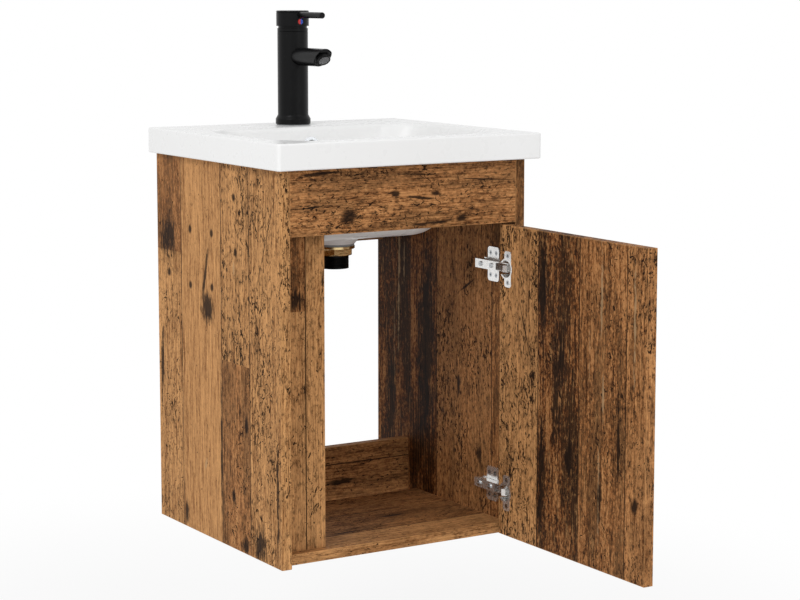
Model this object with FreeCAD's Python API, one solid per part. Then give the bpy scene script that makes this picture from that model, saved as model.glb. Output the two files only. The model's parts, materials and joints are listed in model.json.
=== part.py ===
import FreeCAD, Part
import math
import os

# Wall-hung vanity unit with a ceramic basin, in millimetres.
# X runs to the right, Y towards the wall, Z up.
# The origin lies on the wall plane, midway between the two wall screws of the upper back rail.
# The door is stored open by DOOR_REST degrees.

V = FreeCAD.Vector
X_AXIS = V(1, 0, 0)
Y_AXIS = V(0, 1, 0)
Z_AXIS = V(0, 0, 1)

# Cabinet boards
CAB_W = 392.0            # width over both side panels
CAB_D = 374.0            # depth of a side panel
CAB_H = 540.0            # height of a side panel
BOARD = 15.0             # thickness of every board
FRONT_RAIL_H = 90.0      # front rail under the basin
LOWER_RAIL_H = 90.0      # rail at the foot of the back
UPPER_RAIL_H = 90.0      # rail that takes the wall screws
UPPER_RAIL_DROP = 60.0   # from the cabinet's top down to the upper rail
PIPE_SPACE = 75.0        # clear depth between the lower rail and the wall
BOTTOM_GAP = 23.0        # gap between the bottom panel and the lower rail
STILE_W = 69.0           # width of the grip stile
STILE_T_GAP = 14.5       # finger room between the closed door and the stile
STILE_DROP = 84.0        # from the cabinet's top down to the stile's top
WALL_HOLE_R = 4.0        # wall screw hole
WALL_HOLE_PITCH = 240.0  # distance between the wall screws

# Knock-down fittings
CAM_R = 7.5              # cam disc radius
CAM_DEPTH = 12.0         # cam disc height
CAM_BACKSET = 34.0       # cam centre from the board's end
CAM_SLOT = 1.4           # width and depth of the cam's driver slot
BOLT_R = 3.2             # cam bolt shank radius
BOLT_HOLE_R = 3.5        # bolt hole radius in the board's end
BOLT_THREAD_R = 2.5      # threaded end in the side panel
BOLT_THREAD_L = 11.0     # length of the threaded end
DOWEL_R = 4.0            # dowel radius
DOWEL_IN_SIDE = 10.0     # dowel length in the side panel
DOWEL_IN_END = 20.0      # dowel length in the cross board
FIX_EDGE = 30.0          # first fixing from a board's edge
DOWEL_STEP = 32.0        # dowel to cam distance

# Door and its closed gaps
DOOR_W = 335.0           # door width
DOOR_GAP_SIDE = 2.5      # gap to the right side panel
DOOR_GAP_TOP = 3.0       # gap under the front rail
DOOR_GAP_FOOT = 2.0      # door's foot above the cabinet's foot
DOOR_GAP_BACK = 2.5      # gap to the bottom panel's front edge
DOOR_EDGE_R = 0.8        # rounding of the door's upright edges
DOOR_REST = 90.0         # opening angle in the stored pose

# Concealed hinges
HINGE_END = 62.0         # hinge centre from the door's end
PIVOT_IN = 6.0           # pivot from the door's hinge edge
PIVOT_DEEP = 5.0         # pivot from the door's outer face
PIN_R = 1.1              # hinge pin radius
PIN_FIT = 0.05           # running clearance of the pin in the knuckle
EYE_R = 2.2              # eye radius around the pin
CUP_R = 13.0             # cup radius
CUP_EDGE = 3.0           # cup rim from the door's hinge edge
CUP_DEPTH = 12.6         # depth of the cup's bore
CUP_WALL = 0.8           # sheet thickness of the cup
FLANGE_T = 1.0           # cup flange thickness
CUP_RIM = 1.5            # flange rim beyond the cup
WING_R = 4.0             # corner radius of the flange wing
WING_W = 16.0            # flange wing, across the door
WING_H = 51.0            # flange wing, along the door's height
WING_SHIFT = 4.4         # wing centre beyond the cup's centre
CUP_SCREW_STEP = 38.0    # distance between the cup screws
KNUCKLE_H = 9.6          # knuckle between the arm's cheeks
KNUCKLE_PROUD = 3.0      # knuckle above the door's inner face
CHEEK_T = 1.5            # sheet thickness of the arm's cheeks
CHEEK_FIT = 0.2          # side play between cheeks and knuckle
NOTCH_PLAY = 2.0         # room around the arm's nose in the door
NOTCH_EASE = 0.6         # notch behind the pivot's eye
PLATE_T = 2.5            # mounting plate thickness
PLATE_W = 28.0           # mounting plate wing, along the depth
PLATE_H = 49.5           # mounting plate wing, along the height
PLATE_R = 5.0            # corner radius of the plate
PLATE_BACKSET = 36.0     # plate centre behind the closed door
PLATE_SCREW_STEP = 32.0  # height between the upper and the lower plate screws
PLATE_PAIR_STEP = 14.0   # distance between the two screws of a wing
SADDLE_T = 10.5          # saddle height on the plate
SADDLE_L = 46.0          # saddle length
WEB_T = 1.2              # sheet thickness of the arm's web
ARM_GAP = 1.0            # arm's cheeks above the plate's wing
ARM_NECK = 6.0           # start of the arm's cranked neck behind the door
ARM_WIDE = 13.0          # end of that neck
ARM_OVER = 6.0           # arm beyond the saddle
ARM_SCREW_R = 2.0        # arm screw radius
ARM_HEAD_R = 3.4         # arm screw head radius
ARM_HEAD_T = 1.8         # arm screw head height
ARM_SLOT = 1.0           # width of the arm screw's slot
SCREW_R = 1.75           # wood screw radius
SCREW_HEAD_R = 3.6       # wood screw head radius
SCREW_HEAD_T = 1.4       # wood screw head height
SCREW_L = 11.0           # wood screw length in the board

# Basin
OVER_SIDE = 14.0         # basin beyond each side panel
OVER_FRONT = 22.0        # basin beyond the front rail
RIM_H = 36.0             # height of the rim band
RIM_CORNER_R = 5.0       # plan corner radius of the rim
RIM_EDGE_R = 2.5         # rounding of the rim's top edge
RIM_FOOT_R = 2.0         # rounding of the rim's lower edge
DECK_T = 14.0            # thickness of the tap deck
RING_IN = 3.0            # bearing ring beyond the boards, inwards
HOLLOW_R = 20.0          # corner radius of the hollow under the rim
RIM_SIDE = 34.0          # rim beside the bowl
RIM_FRONT = 35.0         # rim in front of the bowl
DECK_D = 108.0           # tap deck behind the bowl
BOWL_DEPTH = 138.0       # from the rim down to the bowl's floor
BOWL_CORNER_R = 56.0     # plan corner radius of the bowl
LEAN_SIDE = 64.0         # how far a side wall leans in
LEAN_FRONT = 70.0        # how far the front wall leans in
LEAN_BACK = 18.0         # how far the back wall leans in
FLOOR_R = 36.0           # rounding between the walls and the floor
LIP_R = 7.0              # rounding of the bowl's upper edge
BOWL_WALL = 10.0         # wall thickness of the bowl
DRAIN_FORE = 70.0        # drain axis in front of the tap deck
DRAIN_BORE_R = 22.5      # bore through the boss
SEAT_R = 34.0            # flat seat of the waste flange
DISH_R = 62.0            # round floor area that falls towards the drain
DISH_LEDGE = 1.5         # lean of the dish behind the drain
DISH_RISE = 12.0         # height kept free over the dish at the back wall's foot
DISH_FALL = 5.0          # depth of that fall
BOSS_R = 36.0            # boss radius at the bowl
BOSS_FOOT_R = 34.5       # boss radius above its taper
BOSS_H = 16.0            # boss height below the bowl
BOSS_SEAT_R = 29.5       # boss radius at its foot
BOSS_TAPER = 6.0         # height of the taper at the boss foot
DUCT_W = 52.0            # overflow duct width
DUCT_WALL = 6.0          # overflow duct wall
DUCT_GAP = 8.0           # clear depth of the overflow duct
OVERFLOW_R = 11.0        # overflow hole radius
OVERFLOW_DROP = 29.0     # overflow hole below the rim
OVERFLOW_LIP = 3.0       # flange of the overflow ring
OVERFLOW_T = 1.6         # thickness of that flange
OVERFLOW_SLEEVE = 6.0    # sleeve length of the overflow ring
OVERFLOW_WALL = 1.4      # wall of that sleeve
RING_FIT = 0.2           # clearance of sleeves and washers in their holes

# Waste fitting
THREAD_R = 21.0          # outside of the thread through boss and nut
TAIL_R = 20.7            # outside of the plain tail below the nut
TAIL_BORE_R = 17.5       # bore of the tail
TAIL_FOOT = 19.5         # tail below the lock nut
FLANGE_R = 31.0          # waste flange radius
WASTE_FLANGE_T = 2.2     # waste flange thickness
GASKET_T = 1.5           # gasket under the flange
WASHER_R = 28.0          # conical washer radius
WASHER_T = 3.5           # conical washer height
LOCKNUT_AF = 50.0        # lock nut across flats
LOCKNUT_T = 13.0         # lock nut height
NUT_FLANGE_R = 29.3      # lock nut flange radius
NUT_FLANGE_T = 4.0       # lock nut flange thickness
NUT_FIT = 0.05           # clearance of nuts on their threads
PLUG_R = 19.5            # plug radius
PLUG_GAP = 0.8           # gap around the plug in the flange's mouth
PLUG_T = 5.0             # plug height
PLUG_STEM_R = 3.0        # plug stem radius
PLUG_STEM_FIT = 0.05     # running clearance of the stem
PLUG_STEM_L = 40.0       # plug stem length
SEAL_T = 2.0             # plug seal height
SEAL_GAP = 0.3           # seal above its seat when the plug is down
GUIDE_R = 6.5            # stem guide radius
GUIDE_L = 14.0           # stem guide length
GUIDE_DROP = 14.0        # guide below the flange
SPOKE_T = 4.0            # spokes that carry the guide
SLOT_R = 3.0             # overflow slot radius in the waste body

# Tap
TAP_BACK = 50.5          # tap axis behind the bowl's edge
TAP_HOLE_R = 17.5        # tap hole in the deck
TAP_R = 22.5             # body radius
TAP_BASE_R = 25.8        # radius of the flared base
TAP_BASE_H = 7.5         # height of the flare's foot
TAP_FLARE_H = 6.0        # height of the flare's taper
TAP_FLARE_R = 1.5        # rounding of the flare's edge
TAP_BODY_H = 142.0       # body height above the rim
TAP_GASKET_T = 1.5       # base gasket
TAP_GASKET_R = 24.0      # base gasket radius
SPIGOT_R = 16.5          # spigot under the base
SPIGOT_L = 6.0           # spigot length
SPIGOT_BORE_R = 15.0     # recess for the pipes in the spigot
INLET_R = 5.0            # water inlet hole
INLET_L = 14.0           # water inlet depth
INLET_STEP = 14.0        # distance between the inlets
INLET_BACK = 3.5         # inlets behind the tap axis
STUD_R = 4.0             # fixing stud radius
STUD_FORE = 9.0          # stud in front of the tap axis
STUD_IN = 10.0           # stud length in the body
STUD_L = 52.0            # stud below the base
CLAMP_R = 22.0           # clamp plate radius
CLAMP_T = 3.0            # clamp plate thickness
CLAMP_SLOT = 27.0        # clamp plate's opening for the pipes
STUD_NUT_AF = 13.0       # stud nut across flats
STUD_NUT_T = 6.5         # stud nut height
CART_R = 15.9            # cartridge radius
CART_BORE_R = 16.0       # cartridge chamber radius
CART_L = 41.0            # cartridge height
CART_PROUD = 2.5         # cartridge above the body
RING_R = 21.2            # ring nut radius
RING_H = 4.5             # ring nut height
RING_BORE_R = 10.0       # ring nut bore
TURRET_R = 9.0           # turret radius
TURRET_FIT = 0.05        # running clearance of the turret
TURRET_IN = 19.0         # turret length in the cartridge
TILT_DROP = 3.0          # tilt axis below the body's top
TURRET_OVER = 4.0        # turret above the tilt axis
SPINDLE_W = 8.0          # spindle width
SPINDLE_FIT = 0.2        # side play of the spindle
SPINDLE_DOWN = 7.0       # spindle below the tilt axis
SPINDLE_UP = 27.0        # spindle above the tilt axis
CROSS_R = 1.5            # cross pin radius
CROSS_FIT = 0.05         # running clearance of the cross pin
CAP_R = 24.0             # lever cap radius
CAP_WALL = 1.8           # lever cap skirt thickness
CAP_GAP = 3.3            # skirt above the body
CAP_H = 22.5             # lever cap height
CAP_ROOF = 12.5          # lever cap roof thickness
CAP_EDGE_R = 1.5         # rounding of the cap's edge
LEVER_R = 4.5            # lever pin radius
LEVER_REACH = 89.0       # lever pin's end from the tap axis
LEVER_IN = 13.0          # lever pin length in the cap
LEVER_DROP = 6.3         # lever pin axis below the cap's top
LEVER_END_R = 1.2        # rounding of the lever pin's end
DOT_R = 4.0              # temperature dot radius
DOT_T = 1.4              # temperature dot thickness
DOT_IN = 1.0             # temperature dot sunk in the cap
DOT_UP = 6.5             # temperature dot above the skirt
DOT_FIT = 0.05           # clearance around and between the halves
GRUB_R = 2.5             # grub screw radius
GRUB_L = 9.0             # grub screw length
SPOUT_R = 13.0           # spout radius
SPOUT_DROP = 41.0        # spout axis below the body's top
SPOUT_REACH = 89.0       # spout's outlet centre from the tap axis
SPOUT_TIP_R = 5.0        # rounding of the spout's upper tip
SPOUT_SPIGOT_R = 8.0     # spigot of the spout in the body
SPOUT_SPIGOT_L = 5.0     # spigot length
OUTLET_TILT = 45.0       # outlet's tilt from straight down
AERATOR_R = 9.5          # aerator housing radius
AERATOR_IN = 6.0         # aerator in the spout
AERATOR_OUT = 6.5        # aerator below the outlet
AERATOR_RIM = 1.6        # aerator housing wall
SCREEN_T = 1.2           # aerator screen thickness

# Derived places
XI = CAB_W / 2 - BOARD
TOP = UPPER_RAIL_DROP + UPPER_RAIL_H / 2
FOOT = TOP - CAB_H
FRONT = -CAB_D
DOOR_IN = FRONT + BOARD
RIM = TOP + RIM_H
DRAIN_Y = -DECK_D - DRAIN_FORE
TAP_Y = -DECK_D + TAP_BACK
HINGE_EDGE = XI - DOOR_GAP_SIDE
DOOR_Z0 = FOOT + DOOR_GAP_FOOT
DOOR_Z1 = TOP - FRONT_RAIL_H - DOOR_GAP_TOP
PIVOT = V(HINGE_EDGE - PIVOT_IN, FRONT + PIVOT_DEEP, 0)
HINGE_Z = (DOOR_Z1 - HINGE_END, DOOR_Z0 + HINGE_END)

nodes = {}


def box(x0, x1, y0, y1, z0, z1):
    return Part.makeBox(x1 - x0, y1 - y0, z1 - z0, V(x0, y0, z0))


def cyl(r, length, at, along=Z_AXIS):
    return Part.makeCylinder(r, length, at, along)


def tube(r_out, r_in, length, at, along=Z_AXIS):
    return cyl(r_out, length, at, along).cut(cyl(r_in, length, at, along))


def fuse(first, *rest):
    return first.fuse(list(rest)).removeSplitter()


def rounded_rect(x0, x1, y0, y1, r, z):
    q = r * (1 - math.sqrt(0.5))
    pts = [
        Part.LineSegment(V(x0 + r, y0, z), V(x1 - r, y0, z)),
        Part.Arc(V(x1 - r, y0, z), V(x1 - q, y0 + q, z), V(x1, y0 + r, z)),
        Part.LineSegment(V(x1, y0 + r, z), V(x1, y1 - r, z)),
        Part.Arc(V(x1, y1 - r, z), V(x1 - q, y1 - q, z), V(x1 - r, y1, z)),
        Part.LineSegment(V(x1 - r, y1, z), V(x0 + r, y1, z)),
        Part.Arc(V(x0 + r, y1, z), V(x0 + q, y1 - q, z), V(x0, y1 - r, z)),
        Part.LineSegment(V(x0, y1 - r, z), V(x0, y0 + r, z)),
        Part.Arc(V(x0, y0 + r, z), V(x0 + q, y0 + q, z), V(x0 + r, y0, z)),
    ]
    return Part.Wire([p.toShape() for p in pts])


def prism(wire, height):
    return Part.Face(wire).extrude(V(0, 0, height))


def polygon(points):
    return Part.makePolygon(points + [points[0]])


def revolve(profile, at):
    points = [V(r, 0, z) for r, z in profile]
    solid = Part.Face(polygon(points)).revolve(V(0, 0, 0), Z_AXIS, 360)
    solid.translate(at)
    return solid


def hexagon(af, height, at):
    corner = af / math.sqrt(3)
    pts = []
    for k in range(6):
        turn = k * math.pi / 3
        pts.append(at + V(corner * math.cos(turn), corner * math.sin(turn), 0))
    return prism(polygon(pts), height)


def edges_at(shape, z, inside=None):
    found = []
    for e in shape.Edges:
        if all(abs(v.Z - z) < 1e-5 for v in e.Vertexes) and abs(e.CenterOfMass.z - z) < 1e-5:
            if inside is None or inside(e.CenterOfMass):
                found.append(e)
    return found


# Knock-down fittings: each fixing joins the end of a cross board to a side panel.
cams = []
bolts = []
dowels = []
side_holes = {-1: [], 1: []}


def cam_fixing(side, y, z, cam_dir):
    end = V(side * XI, y, z)
    inward = V(-side, 0, 0)
    centre = end + inward * CAM_BACKSET
    mouth = centre + cam_dir * (BOARD / 2)
    pocket = cyl(CAM_R, CAM_DEPTH, mouth, cam_dir * -1)
    shaft_hole = cyl(BOLT_HOLE_R, CAM_BACKSET, end, inward)
    disc = pocket.cut(cyl(BOLT_HOLE_R, CAM_R + BOLT_R, centre - inward * CAM_R, inward))
    half = CAM_SLOT / 2
    slot = box(-CAM_R * 0.7, CAM_R * 0.7, -half, half, -half, half)
    slot.translate(mouth)
    disc = disc.cut(slot)
    cams.append(disc)
    thread = cyl(BOLT_THREAD_R, BOLT_THREAD_L, end, inward * -1)
    shank = cyl(BOLT_R, CAM_BACKSET - CAM_R + BOLT_R, end, inward)
    neck = cyl(BOLT_R * 0.6, CAM_R, end + inward * (CAM_BACKSET - CAM_R + BOLT_R), inward)
    bolts.append(fuse(thread, shank, neck))
    side_holes[side].append(thread)
    return pocket.fuse(shaft_hole)


def dowel_fixing(side, y, z):
    inward = V(-side, 0, 0)
    start = V(side * (XI + DOWEL_IN_SIDE), y, z)
    pin = cyl(DOWEL_R, DOWEL_IN_SIDE + DOWEL_IN_END, start, inward)
    dowels.append(pin)
    side_holes[side].append(pin)
    return pin


def build_boards():
    mid = BOARD / 2
    bottom_y = DOOR_IN + DOOR_GAP_BACK
    front_rail = box(-XI, XI, FRONT, DOOR_IN, TOP - FRONT_RAIL_H, TOP)
    lower_y = -PIPE_SPACE - BOARD
    bottom_end = lower_y - BOTTOM_GAP
    bottom = box(-XI, XI, bottom_y, bottom_end, FOOT, FOOT + BOARD)
    lower = box(-XI, XI, lower_y, -PIPE_SPACE, FOOT, FOOT + LOWER_RAIL_H)
    upper = box(-XI, XI, -BOARD, 0, -UPPER_RAIL_H / 2, UPPER_RAIL_H / 2)
    stile_y = DOOR_IN + STILE_T_GAP
    stile = box(-XI, -XI + STILE_W, stile_y, stile_y + BOARD, FOOT + BOARD, TOP - STILE_DROP)
    for side in (-1, 1):
        for y, step in ((bottom_y + FIX_EDGE, DOWEL_STEP), (bottom_end - FIX_EDGE, -DOWEL_STEP)):
            bottom = bottom.cut(cam_fixing(side, y, FOOT + mid, Z_AXIS * -1))
            bottom = bottom.cut(dowel_fixing(side, y + step, FOOT + mid))
        cam_z = TOP - FRONT_RAIL_H / 2
        front_rail = front_rail.cut(cam_fixing(side, FRONT + mid, cam_z, Y_AXIS))
        front_rail = front_rail.cut(dowel_fixing(side, FRONT + mid, cam_z - DOWEL_STEP))
        low_z = FOOT + LOWER_RAIL_H / 2
        lower = lower.cut(cam_fixing(side, lower_y + mid, low_z, Y_AXIS))
        lower = lower.cut(dowel_fixing(side, lower_y + mid, low_z - DOWEL_STEP))
        upper = upper.cut(cam_fixing(side, -mid, 0, Y_AXIS * -1))
        upper = upper.cut(dowel_fixing(side, -mid, -DOWEL_STEP))
        hole = cyl(WALL_HOLE_R, BOARD, V(side * WALL_HOLE_PITCH / 2, -BOARD, 0), Y_AXIS)
        upper = upper.cut(hole)
    for z, step in ((FOOT + BOARD + FIX_EDGE, DOWEL_STEP), (TOP - STILE_DROP - FIX_EDGE, -DOWEL_STEP)):
        stile = stile.cut(cam_fixing(-1, stile_y + mid, z, Y_AXIS))
        stile = stile.cut(dowel_fixing(-1, stile_y + mid, z + step))
    nodes["bottom_panel"] = bottom
    nodes["front_rail"] = front_rail
    nodes["lower_back_rail"] = lower
    nodes["upper_back_rail"] = upper
    nodes["grip_stile"] = stile
    left = box(-CAB_W / 2, -XI, FRONT, 0, FOOT, TOP)
    nodes["left_side_panel"] = left.cut(side_holes[-1])
    right = box(XI, CAB_W / 2, FRONT, 0, FOOT, TOP)
    nodes["right_side_panel"] = right.cut(side_holes[1] + plate_screw_holes())
    nodes["cam_discs"] = Part.makeCompound(cams)
    nodes["cam_bolts"] = Part.makeCompound(bolts)
    nodes["wood_dowels"] = Part.makeCompound(dowels)


# Concealed hinges, drawn with the door closed.
CUP_X = HINGE_EDGE - CUP_EDGE - CUP_R
WING_X = CUP_X - WING_SHIFT
PLATE_Y = DOOR_IN + PLATE_BACKSET
PLATE_X = XI - PLATE_T
SADDLE_X = PLATE_X - SADDLE_T
CHEEK_IN = KNUCKLE_H / 2 + CHEEK_FIT
CHEEK_OUT = CHEEK_IN + CHEEK_T
NOTCH_X = PIVOT.x - EYE_R - NOTCH_EASE
NOTCH_H = CHEEK_OUT + NOTCH_PLAY


def wood_screw(head_at, along):
    head = Part.makeCone(SCREW_HEAD_R, SCREW_R + 0.6, SCREW_HEAD_T, head_at, along)
    shank = cyl(SCREW_R, SCREW_L, head_at, along)
    return head.fuse(shank).removeSplitter()


def plate_screw_places(z):
    return [V(PLATE_X, PLATE_Y + t * PLATE_PAIR_STEP / 2, z + s * PLATE_SCREW_STEP / 2)
            for s in (-1, 1) for t in (-1, 1)]


def plate_screws():
    return [wood_screw(at, X_AXIS) for z in HINGE_Z for at in plate_screw_places(z)]


def plate_screw_holes():
    return [cyl(SCREW_R, SCREW_L, at, X_AXIS) for z in HINGE_Z for at in plate_screw_places(z)]


def cup_screws():
    out = []
    for z in HINGE_Z:
        for s in (-1, 1):
            out.append(wood_screw(V(WING_X, DOOR_IN + FLANGE_T, z + s * CUP_SCREW_STEP / 2), Y_AXIS * -1))
    return out


def nose_notch(z):
    return box(NOTCH_X, HINGE_EDGE + 1, DOOR_IN - CUP_DEPTH, DOOR_IN + FLANGE_T + 1, z - NOTCH_H, z + NOTCH_H)


def cup_bore(z):
    return cyl(CUP_R, CUP_DEPTH, V(CUP_X, DOOR_IN - CUP_DEPTH, z), Y_AXIS)


def hinge_cup(z):
    shell = cup_bore(z)
    hollow = cyl(CUP_R - CUP_WALL, CUP_DEPTH + FLANGE_T, V(CUP_X, DOOR_IN - CUP_DEPTH + CUP_WALL, z), Y_AXIS)
    rim = cyl(CUP_R + CUP_RIM, FLANGE_T, V(CUP_X, DOOR_IN, z), Y_AXIS)
    rim_room = box(CUP_X - 2 * CUP_R, HINGE_EDGE - CUP_WALL, DOOR_IN, DOOR_IN + FLANGE_T,
                   z - WING_H, z + WING_H)
    rim = rim.common(rim_room)
    wing_wire = rounded_rect(WING_X - WING_W / 2, WING_X + WING_W / 2,
                             z - WING_H / 2, z + WING_H / 2, WING_R, 0)
    wing = prism(wing_wire, FLANGE_T)
    wing.rotate(V(0, 0, 0), X_AXIS, 90)
    wing.translate(V(0, DOOR_IN + FLANGE_T, 0))
    cup = fuse(shell, rim, wing).cut(hollow).cut(nose_notch(z))
    knuckle_low = DOOR_IN - CUP_DEPTH + CUP_WALL / 2
    knuckle_top = DOOR_IN + KNUCKLE_PROUD
    x0 = CUP_X - 1.0
    side = Part.Wire([
        Part.LineSegment(V(x0, knuckle_low, 0), V(PIVOT.x - 1, knuckle_low, 0)).toShape(),
        Part.LineSegment(V(PIVOT.x - 1, knuckle_low, 0), V(PIVOT.x, PIVOT.y - EYE_R, 0)).toShape(),
        Part.Arc(V(PIVOT.x, PIVOT.y - EYE_R, 0), V(PIVOT.x + EYE_R, PIVOT.y, 0),
                 V(PIVOT.x, PIVOT.y + EYE_R, 0)).toShape(),
        Part.LineSegment(V(PIVOT.x, PIVOT.y + EYE_R, 0), V(x0 + 6, knuckle_top, 0)).toShape(),
        Part.LineSegment(V(x0 + 6, knuckle_top, 0), V(x0, knuckle_top - 3, 0)).toShape(),
        Part.LineSegment(V(x0, knuckle_top - 3, 0), V(x0, knuckle_low, 0)).toShape(),
    ])
    knuckle = prism(side, KNUCKLE_H)
    knuckle.translate(V(0, 0, z - KNUCKLE_H / 2))
    cup = fuse(cup, knuckle)
    pin_hole = cyl(PIN_R + PIN_FIT, 2 * KNUCKLE_H, V(PIVOT.x, PIVOT.y, z - KNUCKLE_H))
    cup = cup.cut(pin_hole)
    for s in (-1, 1):
        at = V(WING_X, DOOR_IN + FLANGE_T, z + s * CUP_SCREW_STEP / 2)
        cup = cup.cut(wood_screw(at, Y_AXIS * -1))
    return cup


def hinge_arm(z):
    x0 = SADDLE_X - WEB_T
    x1 = PLATE_X - ARM_GAP
    nose_l = PIVOT.x - EYE_R
    nose_r = PIVOT.x + EYE_R
    neck_y = DOOR_IN + ARM_NECK
    wide_y = DOOR_IN + ARM_WIDE
    back_y = PLATE_Y + SADDLE_L / 2 + ARM_OVER
    side = Part.Wire([
        Part.LineSegment(V(nose_l, PIVOT.y, 0), V(nose_l, neck_y, 0)).toShape(),
        Part.LineSegment(V(nose_l, neck_y, 0), V(x0, wide_y, 0)).toShape(),
        Part.LineSegment(V(x0, wide_y, 0), V(x0, back_y, 0)).toShape(),
        Part.LineSegment(V(x0, back_y, 0), V(x1, back_y - 8, 0)).toShape(),
        Part.LineSegment(V(x1, back_y - 8, 0), V(x1, wide_y, 0)).toShape(),
        Part.LineSegment(V(x1, wide_y, 0), V(nose_r, neck_y, 0)).toShape(),
        Part.LineSegment(V(nose_r, neck_y, 0), V(nose_r, PIVOT.y, 0)).toShape(),
        Part.Arc(V(nose_r, PIVOT.y, 0), V(PIVOT.x, PIVOT.y - EYE_R, 0), V(nose_l, PIVOT.y, 0)).toShape(),
    ])
    low = prism(side, CHEEK_T)
    low.translate(V(0, 0, z - CHEEK_OUT))
    high = prism(side, CHEEK_T)
    high.translate(V(0, 0, z + CHEEK_IN))
    web = box(x0, SADDLE_X, wide_y, back_y, z - CHEEK_OUT, z + CHEEK_OUT)
    arm = fuse(low, high, web)
    arm = arm.cut(cyl(PIN_R, 2 * CHEEK_OUT, V(PIVOT.x, PIVOT.y, z - CHEEK_OUT)))
    for y in arm_screw_places():
        arm = arm.cut(cyl(ARM_SCREW_R, WEB_T * 3, V(x0 - WEB_T, y, z), X_AXIS))
    return arm


def arm_screw_places():
    return (PLATE_Y - SADDLE_L / 4, PLATE_Y + SADDLE_L / 3)


def arm_screws():
    out = []
    for z in HINGE_Z:
        for y in arm_screw_places():
            at = V(SADDLE_X - WEB_T, y, z)
            head = cyl(ARM_HEAD_R, ARM_HEAD_T, at - X_AXIS * ARM_HEAD_T, X_AXIS)
            half = ARM_SLOT / 2
            slot = box(at.x - ARM_HEAD_T, at.x - ARM_HEAD_T / 2, y - ARM_HEAD_R, y + ARM_HEAD_R,
                       z - half, z + half)
            head = head.cut(slot)
            out.append(head.fuse(cyl(ARM_SCREW_R, SADDLE_T * 0.7, at, X_AXIS)).removeSplitter())
    return out


def hinge_plate(z):
    wing_wire = rounded_rect(PLATE_Y - PLATE_W / 2, PLATE_Y + PLATE_W / 2,
                             z - PLATE_H / 2, z + PLATE_H / 2, PLATE_R, 0)
    wing = prism(wing_wire, PLATE_T)
    wing.rotate(V(0, 0, 0), V(1, 1, 1), 120)
    wing.translate(V(PLATE_X, 0, 0))
    y0 = PLATE_Y - SADDLE_L / 2
    y1 = PLATE_Y + SADDLE_L / 2
    half = KNUCKLE_H / 2
    saddle = box(SADDLE_X, PLATE_X, y0, y1, z - half, z + half)
    tail = box(PLATE_X, XI, y0, y1, z - half - 3, z + half + 3)
    plate = fuse(wing, saddle, tail)
    for at in plate_screw_places(z):
        plate = plate.cut(wood_screw(at, X_AXIS))
    for y in arm_screw_places():
        plate = plate.cut(cyl(ARM_SCREW_R, SADDLE_T * 0.7, V(SADDLE_X - WEB_T, y, z), X_AXIS))
    return plate


def build_door():
    door = box(HINGE_EDGE - DOOR_W, HINGE_EDGE, FRONT, DOOR_IN, DOOR_Z0, DOOR_Z1)
    upright = [e for e in door.Edges if abs(e.Vertexes[0].Z - e.Vertexes[1].Z) > 1]
    door = door.makeFillet(DOOR_EDGE_R, upright)
    screws = cup_screws()
    for z in HINGE_Z:
        door = door.cut([cup_bore(z), nose_notch(z)])
    door = door.cut(screws)
    group = {"door_board": door}
    group["hinge_cup_upper"] = hinge_cup(HINGE_Z[0])
    group["hinge_cup_lower"] = hinge_cup(HINGE_Z[1])
    group["hinge_cup_screws"] = Part.makeCompound(screws)
    for name, shape in group.items():
        shape.rotate(PIVOT, Z_AXIS, DOOR_REST)
        nodes[name] = shape
    nodes["hinge_arm_upper"] = hinge_arm(HINGE_Z[0])
    nodes["hinge_arm_lower"] = hinge_arm(HINGE_Z[1])
    nodes["hinge_plate_upper"] = hinge_plate(HINGE_Z[0])
    nodes["hinge_plate_lower"] = hinge_plate(HINGE_Z[1])
    nodes["hinge_plate_screws"] = Part.makeCompound(plate_screws())
    nodes["hinge_arm_screws"] = Part.makeCompound(arm_screws())
    pins = [cyl(PIN_R, 2 * CHEEK_OUT, V(PIVOT.x, PIVOT.y, z - CHEEK_OUT)) for z in HINGE_Z]
    nodes["hinge_pins"] = Part.makeCompound(pins)


# Basin: rim slab, leaning bowl, drain boss and overflow duct.
BASIN_X = CAB_W / 2 + OVER_SIDE
BASIN_FRONT = FRONT - OVER_FRONT
FLOOR = RIM - BOWL_DEPTH


def bowl_section(depth, grow):
    t = depth / BOWL_DEPTH
    x = BASIN_X - RIM_SIDE - LEAN_SIDE * t + grow
    y0 = BASIN_FRONT + RIM_FRONT + LEAN_FRONT * t - grow
    y1 = -DECK_D - LEAN_BACK * t + grow
    return rounded_rect(-x, x, y0, y1, BOWL_CORNER_R + grow, RIM - depth)


def bowl_form(top_depth, floor_depth, grow, floor_r):
    form = Part.makeLoft([bowl_section(top_depth, grow), bowl_section(floor_depth, grow)], True, True)
    return form.makeFillet(floor_r, edges_at(form, RIM - floor_depth))


def back_wall_y(z):
    return -DECK_D - LEAN_BACK * (RIM - z) / BOWL_DEPTH


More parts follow.
